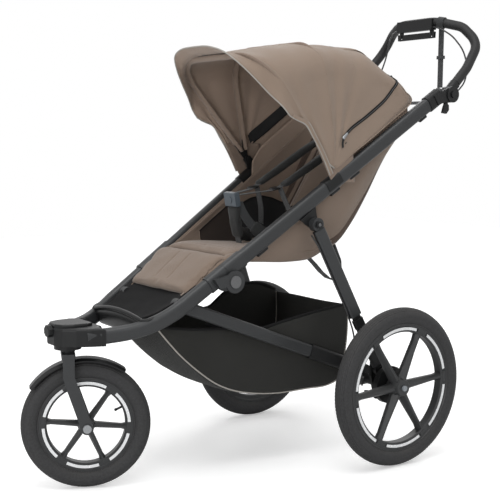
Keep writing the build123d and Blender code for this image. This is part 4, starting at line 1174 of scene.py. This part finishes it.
# cushion: taupe front band, black hip liner behind it
front_band = cushion_form("seat_front_band",
                          [(-412, 541), (-386, 546), (-340, 547), (-270, 543), (-214, 540)],
                          [144, 146, 142, 128, 121], 17, "seat_cloth", corner=8, columns=32, crown=2.5)
swell(front_band, 5, 5)
sew(front_band, [lambda p, n: (np.abs(p[:, 1] + 385), p[:, 0])], depth=1.6, width=3.0)
hip_cushion = cushion_form("hip_cushion", [(-216, 538), (-180, 536), (-140, 540), (-98, 556)], 121, 15,
                           "liner_mesh", corner=9, columns=30, crown=2.0)
swell(hip_cushion, 5.5, 6)
sew(hip_cushion, [lambda p, n: (np.abs(np.abs(p[:, 0]) - 84), p[:, 1])], depth=2.0, width=3.5)
for pad in (front_band, hip_cushion):
    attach(pad, "upper_frame")

# thigh bolsters along both sides, in the taupe seat cloth
for side, word in ((1, "left"), (-1, "right")):
    bolster_rows = []
    for y in np.linspace(-390, -90, 40):
        base = low_line(y) + 14
        height = 12 * math.sin(math.pi * min(1, (y + 390) / 300 * 0.9 + 0.08)) + 4
        around = np.linspace(0, 2 * math.pi, 20, endpoint=False)
        lean = 121 + 0.045 * (y + 390)
        bolster_rows.append([(side * (lean + 10 * math.cos(a) + 7 * (math.sin(a) + 1) / 2), y,
                              base + height * (0.5 + 0.5 * math.sin(a))) for a in around])
    bolster = sheet_of("thigh_bolster_" + word, bolster_rows, "seat_cloth", ring=True)
    close_holes(bolster)
    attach(bolster, "upper_frame")

# backrest: padded front, with the black hip panel low down, and its rear skin
back_front = back_pad("backrest_front", -120, 120, 4, 348, -9, 6, "seat_cloth", corner=10, crown=2.0)
swell(back_front, 6, 5)
sew(back_front, [lambda p, n: (np.abs(((p - PIVOT) @ RISE) - 232), p[:, 0]),
                 lambda p, n: (np.abs(np.abs(p[:, 0]) - 88) + 60 * (n @ FACE < 0), (p - PIVOT) @ RISE)],
    depth=2.0, width=4.0)
back_rear_rows = [[on_back(x, s, -20 - 3.0 * (1 - (x / 122) ** 2) * math.sin(math.pi * s / 350))
                   for x in np.linspace(-123, 123, 27)] for s in np.linspace(-4, 350, 40)]
back_rear = tidy_normals(sheet_of("backrest_rear_skin", back_rear_rows, "seat_cloth", thick=2.0, flip=True))
band_rows = []
for s in np.linspace(-4, 350, 40):
    band_rows.append([on_back(sign * 122.5, s, t) for sign, t in ((-1, -20), (-1, -12), (-1, -3))]
                     + [on_back(sign * 122.5, s, t) for sign, t in ((1, -3), (1, -12), (1, -20))])
band_rows = np.array(band_rows)
back_sides = [sheet_of("backrest_side_band", band_rows[:, :3], "gusset_cloth", thick=1.5),
              sheet_of("backrest_side_band", band_rows[:, 3:], "gusset_cloth", thick=1.5)]
liner_rows = []
for share in np.linspace(0, 1, 20):
    row = []
    for x in np.linspace(-116, 116, 30):
        top = 78 * math.sqrt(max(0.0, 1 - (x / 119) ** 2)) ** 0.8 + 6
        s = 6 + share * (top - 6)
        row.append(on_back(x, s,
                           9.5 + 1.4 * math.sin(math.pi * share) - 3.0 * (x / 116) ** 4 - 2.0 * (1 - share)))
    liner_rows.append(row)
hip_panel = tidy_normals(sheet_of("hip_panel", liner_rows, "liner_mesh", thick=2.2, flip=True))
hip_hem = swept("hip_panel_hem", liner_rows[-1], round_section(2.0, 8), "black_cloth")
back_skin = together("backrest_skin", [back_rear, hip_panel, hip_hem] + back_sides)
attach(back_front, "backrest")
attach(back_skin, "backrest")
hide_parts("backrest_pad")


# ---------------------------------------------------------------- leg rest and footwell
leg_pad = cushion_form("leg_rest_pad",
                       [(-526, 457), (-500, 478), (-478, 497), (-456, 515), (-434, 532), (-408, 545)],
                       [134, 139, 143, 146], 14, "seat_cloth", corner=10, columns=36, crown=3.0)
swell(leg_pad, 5, 5)


def leg_seam(x0, y0, y1):
    """A sewn line up the leg rest's face, between two places along it."""
    def channel(places, normals):
        inside = (places[:, 1] > y0) & (places[:, 1] < y1) & (normals[:, 2] > 0)
        return np.where(inside, np.abs(places[:, 0] - x0), 99.0), places[:, 1]
    return channel


sew(leg_pad, [leg_seam(27, -512, -440), leg_seam(-27, -512, -440),
              lambda p, n: (np.abs(p[:, 1] + 424), p[:, 0])], depth=1.9, width=2.8)
lump(leg_pad, 0.6, 60, 3)
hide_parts("leg_rest")


def make_leg_wings():
    """Fabric that turns down from each edge of the leg rest, just inside the tubes."""
    middle = smooth_line([(0, -530, 455), (0, -500, 477), (0, -456, 513), (0, -430, 533), (0, -408, 545),
                          (0, -380, 548)], 30)
    wings = []
    for side in (-1, 1):
        rows = []
        for _, y, z in middle:
            inner = tube_side(y) - along({-530: 21, -456: 15, -380: 14}, y)
            rows.append([(side * (inner - 12), y, z + 3), (side * (inner - 3), y + 3, z - 2),
                         (side * inner, y + 6, z - 12), (side * inner, y + 8, z - 24)])
        wing = tidy_normals(sheet_of("leg_rest_wing", rows, "seat_cloth", thick=2.0))
        wings.append(wing)
    return together("leg_rest_wings", wings)


leg_wings = make_leg_wings()
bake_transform(leg_wings)
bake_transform(leg_pad)

well_path = smooth_line([(0, -626, 403), (0, -596, 413), (0, -560, 433), (0, -530, 452), (0, -498, 474)], 26)


def well_half(y):
    """Half the footwell's width."""
    return along({-626: 98, -560: 122, -530: 131, -498: 135}, y)


well_rows = []
for _, y, z in well_path:
    half = well_half(y)
    well_rows.append([(x, y, z - 7 * (1 - (x / half) ** 2) + 5 * (abs(x) / half) ** 6)
                      for x in np.linspace(-half, half, 31)])
footwell = tidy_normals(sheet_of("footwell_cloth", well_rows, "black_cloth", thick=2.4))
lump(footwell, 0.8, 70, 5)
hem = [swept("footwell_hem", [(s * well_half(y), y, z + 5) for _, y, z in well_path],
             round_section(2.4, 8), "black_cloth") for s in (1, -1)]
footwell = together("footwell", [footwell] + hem)
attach(footwell, "front_frame")


# ---------------------------------------------------------------- footrest
def make_footrest():
    """A low arch between the front tubes with a guard wall under it, and a clamp at each end."""
    arch = smooth_line([(-124, -633, 402), (-104, -636, 408), (-60, -639, 416), (0, -641, 420),
                        (60, -639, 416), (104, -636, 408), (124, -633, 402)], 48)
    parts = [swept("footrest_lip", arch, round_section(6.5, 12, 5.5), "black_plastic")]
    rows = []
    for x, y, z in arch[2:-2]:
        rows.append([(x, y + 2, z - 3), (x, y - 2, z - 12), (x * 0.97, y + 1, z - 24), (x * 0.94, y + 6, 377),
                     (x * 0.92, y + 11, 371)])
    parts.append(tidy_normals(sheet_of("footrest_wall", rows, "black_plastic", thick=2.2)))
    for side in (-1, 1):
        clamp = smooth_line([(side * 114, -635, 405), (side * 122, -630, 406), (side * 128, -622, 408),
                             (side * 130, -612, 411)], 10)
        parts.append(swept("footrest_clamp", clamp, round_section(8.0, 12, 6.0), "black_plastic"))
    return together("footrest_guard", parts)


footrest = make_footrest()
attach(footrest, "front_frame")
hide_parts("footrest_bar")


# ---------------------------------------------------------------- basket
BASKET_FLOOR = [(-588, 381), (-556, 343), (-522, 306), (-467, 258), (-424, 228), (-366, 204), (-262, 187),
                (-164, 188), (-96, 190), (-60, 206), (-44, 262), (-36, 330), (-37, 396)]
# The left edge sags between its ends; the right one keeps the hump of its stiffener.
LEFT_RIM = [(-586, 384), (-550, 378), (-472, 369), (-411, 366), (-350, 360), (-297, 357), (-244, 367),
            (-183, 378), (-122, 388), (-80, 393), (-42, 399)]
RIGHT_RIM = [(-586, 384), (-550, 381), (-470, 376), (-380, 372), (-310, 373), (-280, 377), (-262, 388),
             (-227, 410), (-178, 426), (-134, 429), (-89, 422), (-42, 403)]


def basket_half(y):
    """Half the width between the lower bars."""
    return along({-600: 103.8, -20: 153.2}, y)


def make_basket():
    """The sagging bag with its bottom darkened as painted shade, light piping and bound edges."""
    floor = smooth_line([(0, y, z) for y, z in BASKET_FLOOR], 72)
    rims = [smooth_line([(0, y, z) for y, z in rim], 72) for rim in (LEFT_RIM, RIGHT_RIM)]
    rows = []
    for k in range(72):
        share = k / 71
        fy, fz = floor[k][1:]
        sides = []
        for rim in rims:
            ry, rz = rim[k][1:]
            side = []
            for t in np.linspace(0, 1, 15):
                y, z = ry + (fy - ry) * t, rz + (fz - rz) * t
                belly = 7 * math.sin(math.pi * t) * math.sin(math.pi * share)
                wave = 1.3 * math.sin(9.5 * share + 5 * t) * math.sin(math.pi * t)
                side.append((basket_half(y) + belly + wave - 1.0, y, z))
            sides.append(side)
        deep = 9 * math.sin(math.pi * share) ** 0.8
        across = np.linspace(1, -1, 25)[1:-1]
        wide = sides[0][-1][0]
        under = [(wide * c, fy, fz - deep * (1 - c * c) - 0.8 * math.sin(13 * share + 4 * c)) for c in across]
        rows.append(sides[0] + under + [(-x, y, z) for x, y, z in sides[1][::-1]])
    rows = np.array(rows)
    bag = tidy_normals(sheet_of("basket_bag", rows, "basket_cloth", thick=1.8))
    # the bottom and front slope take the darker copy of the basket cloth: painted shade
    bag.data.materials.append(finishes["basket_bottom_painted_shade"])
    base = len(bag.data.materials) - 1
    resting = dict(sorted(BASKET_FLOOR)[:9])
    for face in bag.data.polygons:
        place = Vector(face.center)
        y = place.y * 1000 - AXLE_TO_MIDDLE
        if abs(place.x * 1000) < basket_half(y) - 4 and place.z * 1000 < along(resting, y) + 12:
            face.material_index = base
    parts = [bag]
    for sign, column in ((1, 14), (-1, -15)):
        edge = rows[:, column] + np.array((sign * 0.8, 0, 0))
        parts.append(swept("basket_piping", evenly(edge, 120), round_section(1.9, 8), "piping"))
    for sign, column in ((1, 0), (-1, -1)):
        parts.append(swept("basket_hem", evenly(rows[:, column], 120), round_section(3.2, 8, 4.5),
                           "black_cloth"))
    return together("basket_cloth_bag", parts)


basket = make_basket()
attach(basket, "lower_frame")
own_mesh(basket)
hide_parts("basket")


# ---------------------------------------------------------------- harness
def strap_pad(name, line, half, thick, finish, side=(1, 0, 0), corner=8, ends=(1.0, 1.0), count=30):
    """A closed flat pad along a line, rounded at its ends, ready to be puffed."""
    places = smooth_line(line, count)
    heading = headings(places)
    length = float(np.linalg.norm(np.diff(places, axis=0), axis=1).sum())
    around = np.linspace(0, 2 * math.pi, 36, endpoint=False)
    rows = []
    for i, place in enumerate(places):
        share = i / (count - 1)
        across = np.array(side, float) - heading[i] * heading[i].dot(side)
        across /= np.linalg.norm(across)
        out = np.cross(across, heading[i])
        tuck = end_tuck(min(share, 1 - share) * length, corner)
        wide = half * (ends[0] + (ends[1] - ends[0]) * share) - corner * (1 - tuck) * 0.8
        tall = thick / 2 * max(0.15, tuck)
        rows.append([place + across * wide * math.copysign(abs(math.cos(a)) ** 0.4, math.cos(a))
                     + out * tall * math.copysign(abs(math.sin(a)) ** 0.7, math.sin(a)) for a in around])
    return close_holes(sheet_of(name, rows, finish, ring=True))


crotch_pad = strap_pad("crotch_pad", [(0, -279, 572), (0, -284, 598), (0, -289, 628), (0, -294, 655)], 26, 11,
                       "pad_cloth", ends=(0.80, 0.98))
swell(crotch_pad, 4, 4)
crotch_strap = swept("crotch_strap",
                     smooth_line([(0, -268, 540), (0, -276, 558), (0, -282, 590), (0, -294, 655)], 20),
                     flat_section(25, 2.4), "webbing", side=(1, 0, 0))
lap_pads, lap_straps = [], []
for side, word in ((1, "left"), (-1, "right")):
    lap_line = [(side * 38, -262, 606), (side * 58, -236, 583), (side * 82, -200, 572),
                (side * 106, -158, 568)]
    pad = strap_pad("lap_pad_" + word, lap_line, 20, 10, "pad_cloth", side=(side * 0.45, 0.75, 0.3),
                    ends=(0.85, 1.0))
    swell(pad, 4, 4)
    lap_pads.append(pad)
    lap_straps.append(swept("lap_strap",
                            smooth_line([(side * 16, -290, 664), (side * 25, -280, 636), *lap_line,
                                                      (side * 118, -128, 572)], 40),
                            flat_section(22, 1.8), "webbing", side=(side * 0.45, 0.75, 0.3)))
harness_low = together("harness_straps", [crotch_strap] + lap_straps)
for pad in [crotch_pad] + lap_pads:
    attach(pad, "upper_frame")
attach(harness_low, "upper_frame")
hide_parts("harness_pads")

# shoulder straps, buckled: they run from the buckle to the slots high on the backrest
shoulder_parts = []
for side, word in ((1, "left"), (-1, "right")):
    slot = tuple(on_back(side * 60, 300, 6))
    up_line = [(side * 53, -180, 704), (side * 54, -122, 735), (side * 55, -60, 770), (side * 57, 0, 803),
               (side * 59, 52, 824)]
    pad = strap_pad("shoulder_pad_" + word, up_line, 19, 11, "pad_cloth", ends=(0.9, 1.0), corner=9)
    swell(pad, 4, 4)
    web = swept("shoulder_web_" + word, smooth_line([(side * 16, -289, 684), (side * 30, -250, 689),
                                                     (side * 46, -205, 695), (side * 53, -165, 711)], 30),
                flat_section(22, 1.8), "webbing", side=(1, 0, 0))
    top = swept("shoulder_top_" + word, smooth_line([(side * 59, 46, 823), (side * 60, 78, 833), slot,
                                                     tuple(on_back(side * 60, 303, -6))], 20),
                flat_section(26, 2.0), "black_cloth", side=(1, 0, 0))
    loose = swept("shoulder_loose_" + word, smooth_line([(side * 50, -183, 701), (side * 54, -172, 672),
                                                         (side * 62, -160, 640), (side * 74, -150, 600)], 26),
                  flat_section(22, 1.8), "webbing_light", side=(1, 0, 0))
    slide = swept("strap_adjuster_" + word,
                  smooth_line([(side * 44, -206, 696.5), (side * 49, -190, 700.5)], 4),
                  [(-15, -2.2), (-14, 2.2), (14, 2.2), (15, -2.2)], "black_plastic", side=(1, 0, 0))
    shoulder_parts += [pad, web, top, loose, slide]
for piece in shoulder_parts:
    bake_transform(piece)
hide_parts("shoulder_pads", "harness_webbing")


# ---------------------------------------------------------------- wheels
TYRE = 22.0


class Wheel:
    """A wheel's place: w along its axle, then an angle from straight up and a radius."""

    def __init__(self, middle, yaw, radius, turn, hub, root, tip):
        yaw = math.radians(yaw)
        self.middle = np.array(middle, float)
        self.axle = np.array((math.cos(yaw), math.sin(yaw), 0.0))
        self.level = np.array((-math.sin(yaw), math.cos(yaw), 0.0))
        self.radius, self.turn, self.hub, self.root, self.tip = radius, turn, hub, root, tip
        self.bed = radius - 2 * TYRE

    def at(self, w, angle, r):
        """A place on the wheel, in millimetres from the rear axle."""
        a = math.radians(angle)
        return (self.middle + self.axle * w + self.level * (-math.sin(a) * r)
                + np.array((0, 0, math.cos(a) * r)))


def turned(name, wheel, profile, finish, count=120):
    """A closed profile of (w, r) places turned round the wheel's axle."""
    rows = [[wheel.at(w, 360 * i / count, r) for w, r in profile] for i in range(count)]
    rows.append(rows[0])
    return tidy_normals(sheet_of(name, rows, finish, ring=True), merge=0.00001)


def make_tyre(name, wheel):
    """A tyre with a fine block tread and raised lines on its walls."""
    count = int(2 * math.pi * wheel.radius / 3.0)
    phis = []
    for edge in (8, 22, 37, 50):
        phis += [-edge - 1.4, -edge - 0.5, -edge + 0.5, -edge + 1.4, edge - 1.4, edge - 0.5, edge + 0.5,
                 edge + 1.4]
    phis += [-15, 0, 15, -29, 29, -43, 43]
    for k in range(9):
        phis += [58 + 12 * k, -58 - 12 * k]
    phis += [82.0, 84.0, -82.0, -84.0, 163, -163]
    phis = sorted(set(phis))
    rows = []
    for i in range(count):
        angle = 360 * i / count
        cut = i % 3 == 0
        row = []
        for phi in phis:
            depth = 0.0
            for edge in (8, 22, 37, 50):
                if abs(abs(phi) - edge) < 0.8:
                    depth = 0.9
            if cut and 23 < abs(phi) < 49:
                depth = 0.8
            if abs(abs(phi) - 83) < 1.5 or abs(abs(phi) - 118) < 1.0:
                depth = -0.5
            spread = TYRE - 0.1 - depth
            p = math.radians(phi)
            row.append(wheel.at(spread * math.sin(p), angle, wheel.radius - TYRE + spread * math.cos(p)))
        rows.append(row)
    rows.append(rows[0])
    return tidy_normals(sheet_of(name, rows, "tyre_rubber", ring=True), merge=0.00001)


def make_rim(name, wheel):
    """Channelled rim, ridged spokes with lugs at the rim, and a flared hub."""
    bed = wheel.bed
    ring = [(13, bed + 4), (13.4, bed - 2.6), (12.4, bed - 4.4), (11.6, bed - 4.8), (11.6, bed - 12.6),
            (13.3, bed - 13.2), (13.3, bed - 14.6), (10.5, bed - 17.2), (-10.5, bed - 17.2),
            (-13.3, bed - 14.6), (-13.3, bed - 13.2), (-11.6, bed - 12.6), (-11.6, bed - 4.8),
            (-13.4, bed - 2.6), (-13, bed + 4), (-9, bed + 6.8), (9, bed + 6.8)]
    hub = wheel.hub
    flare = [(22, 7.6), (22, hub - 2.5), (20.5, hub - 0.6), (14, hub + 1.2), (8, hub + 4), (-8, hub + 4),
             (-14, hub + 0.5), (-21.4, hub - 1), (-22, hub - 2), (-22, 7.6)]
    parts = [turned("rim_ring", wheel, ring, "wheel_plastic", 144),
             turned("rim_hub", wheel, flare, "wheel_plastic", 64)]
    groove = [(13.2, bed + 5.2), (14.4, bed + 4.6), (14.6, bed + 2.6), (13.4, bed + 1.8), (12.6, bed + 3.6)]
    parts.append(turned("rim_bead", wheel, groove, "cable_sheath", 144))
    for k in range(6):
        angle = wheel.turn + 60 * k
        rows = []
        for share in np.linspace(0, 1, 15):
            r = hub - 6 + (bed - 15 - hub + 6) * share
            half = (wheel.root + (wheel.tip - wheel.root) * share ** 0.8) / 2
            half *= 1 + 0.35 * max(0, 1 - share * 5) ** 2
            half *= 1 + 0.5 * max(0, share - 0.86) / 0.14
            front = 15.5 - 4.5 * min(1, share * 1.6)
            back = 9.5 - 1.5 * share
            section = [(-half, -back + 2), (-half, 2.0), (-half * 0.86, 4.2), (-half * 0.30, front),
                       (half * 0.30, front), (half * 0.86, 4.2), (half, 2.0), (half, -back + 2),
                       (half * 0.7, -back), (-half * 0.7, -back)]
            rows.append([wheel.at(w, angle + math.degrees(t / r), r) for t, w in section])
        parts.append(tidy_normals(sheet_of("rim_spoke", rows, "wheel_plastic", ring=True)))
        lug = []
        span = math.degrees(15.0 / bed)
        for share in np.linspace(-1, 1, 9):
            slope = 4.5 * abs(share)
            a = angle + span * share
            lug.append([wheel.at(w, a, r) for w, r in ((11.4, bed - 13.6), (13.9, bed - 13.2 + slope * 0.2),
                                                        (14.1, bed - 5.2), (13.2, bed - 3.2),
                                                        (11.4, bed - 3.6))])
        behind = [[p - wheel.axle * 2 * (p - wheel.middle).dot(wheel.axle) for p in row] for row in lug]
        for block in (lug, behind):
            parts.append(close_holes(sheet_of("rim_lug", block, "wheel_plastic", ring=True)))
    whole = together(name, parts)
    whole.data.shade_smooth()
    whole.data.set_sharp_from_angle(angle=math.radians(32))
    return whole


wheels = {
    "left": (Wheel((307, 0, 203), 0, 203, 34, 21, 25, 14), "rear_rim_left", "rear_tyre_left",
             "rear_wheel_left"),
    "right": (Wheel((-307, 0, 203), 180, 203, 34, 21, 25, 14), "rear_rim_right", "rear_tyre_right",
              "rear_wheel_right"),
    "front": (Wheel((16.5, -733.6, 154), -24.4, 154, 24, 17, 15, 11), "front_rim", "front_tyre",
              "front_wheel"),
}
for word, (wheel, rim_node, tyre_node, body) in wheels.items():
    rim_look = make_rim("wheel_rim_" + word, wheel)
    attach(rim_look, body)
    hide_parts(rim_node)
    tyre_parts = [make_tyre("tyre_" + word, wheel)]
    if word == "front":
        stem = [wheel.at(0, -66, wheel.bed - r) for r in (16, 24, 30, 36)]
        tyre_parts.append(swept("valve_stem", stem[:3], round_section(2.9, 12), "cable_sheath"))
        tyre_parts.append(swept("valve_cap", stem[2:], round_section(3.4, 8), "black_plastic"))
    tyre_look = together("wheel_tyre_" + word, tyre_parts)
    tyre_look.data.shade_smooth()
    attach(tyre_look, body)
    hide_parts(tyre_node)


# ---------------------------------------------------------------- small hardware
def screw_instances():
    """A node group that puts a domed socket screw on each given point, turned to its own direction."""
    group = bpy.data.node_groups.new("screws_on_points", "GeometryNodeTree")
    group.interface.new_socket("Geometry", in_out="INPUT", socket_type="NodeSocketGeometry")
    size = group.interface.new_socket("Head radius", in_out="INPUT", socket_type="NodeSocketFloat")
    size.default_value = 0.0035
    group.interface.new_socket("Finish", in_out="INPUT", socket_type="NodeSocketMaterial")
    group.interface.new_socket("Geometry", in_out="OUTPUT", socket_type="NodeSocketGeometry")
    add, link = group.nodes.new, group.links.new
    given, made = add("NodeGroupInput"), add("NodeGroupOutput")

    def scaled(share):
        node = add("ShaderNodeMath")
        node.operation = "MULTIPLY"
        link(given.outputs["Head radius"], node.inputs[0])
        node.inputs[1].default_value = share
        return node.outputs[0]

    head = add("GeometryNodeMeshCone")
    head.inputs["Vertices"].default_value = 18
    link(scaled(0.72), head.inputs["Radius Top"])
    link(given.outputs["Head radius"], head.inputs["Radius Bottom"])
    link(scaled(0.55), head.inputs["Depth"])
    socket = add("GeometryNodeMeshCylinder")
    socket.inputs["Vertices"].default_value = 6
    link(scaled(0.42), socket.inputs["Radius"])
    link(scaled(0.8), socket.inputs["Depth"])
    lifted = add("GeometryNodeTransform")
    raise_by = add("ShaderNodeCombineXYZ")
    link(scaled(0.62), raise_by.inputs["Z"])
    link(raise_by.outputs[0], lifted.inputs["Translation"])
    link(socket.outputs["Mesh"], lifted.inputs["Geometry"])
    cut = add("GeometryNodeMeshBoolean")
    cut.operation = "DIFFERENCE"
    link(head.outputs["Mesh"], cut.inputs[0])
    link(lifted.outputs["Geometry"], cut.inputs[1])
    facing = add("FunctionNodeAlignRotationToVector")
    facing.axis = "Z"
    direction = add("GeometryNodeInputNamedAttribute")
    direction.data_type = "FLOAT_VECTOR"
    direction.inputs["Name"].default_value = "facing"
    link(direction.outputs["Attribute"], facing.inputs["Vector"])
    spread = add("GeometryNodeInstanceOnPoints")
    link(given.outputs["Geometry"], spread.inputs["Points"])
    link(cut.outputs["Mesh"], spread.inputs["Instance"])
    link(facing.outputs["Rotation"], spread.inputs["Rotation"])
    real = add("GeometryNodeRealizeInstances")
    link(spread.outputs["Instances"], real.inputs["Geometry"])
    dress = add("GeometryNodeSetMaterial")
    link(real.outputs["Geometry"], dress.inputs["Geometry"])
    link(given.outputs["Finish"], dress.inputs["Material"])
    link(dress.outputs["Geometry"], made.inputs["Geometry"])
    return group


screw_group = screw_instances()


def screws(name, spots, radius, finish, body):
    """Screw heads on places, each with the direction it faces."""
    mesh = bpy.data.meshes.new(name)
    mesh.from_pydata([at(*place) for place, _ in spots], [], [])
    directions = mesh.attributes.new("facing", "FLOAT_VECTOR", "POINT")
    for item, (_, facing) in zip(directions.data, spots):
        item.vector = Vector(facing).normalized()
    piece = add_object(name, mesh)
    repeat = piece.modifiers.new("screws", "NODES")
    repeat.node_group = screw_group
    for item in screw_group.interface.items_tree:
        if item.in_out == "INPUT" and item.name == "Head radius":
            repeat[item.identifier] = radius / 1000
        if item.in_out == "INPUT" and item.name == "Finish":
            repeat[item.identifier] = finishes[finish]
    settle(piece)
    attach(piece, body)
    return piece


def on_both(spots):
    """The places and their mirror images."""
    return spots + [((-x, y, z), (-a, b, c)) for (x, y, z), (a, b, c) in spots]


leg_cap_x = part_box("leg_brackets")[1][0] * 1000
screws("leg_pin_screws", on_both([((leg_cap_x, -183, 615), (1, 0, 0))]), 4.5, "badge_grey", "upper_frame")
screws("bar_pin_screws", on_both([((108, -540, 436), (-1, 0, 0))]), 4.5, "badge_grey", "front_frame")
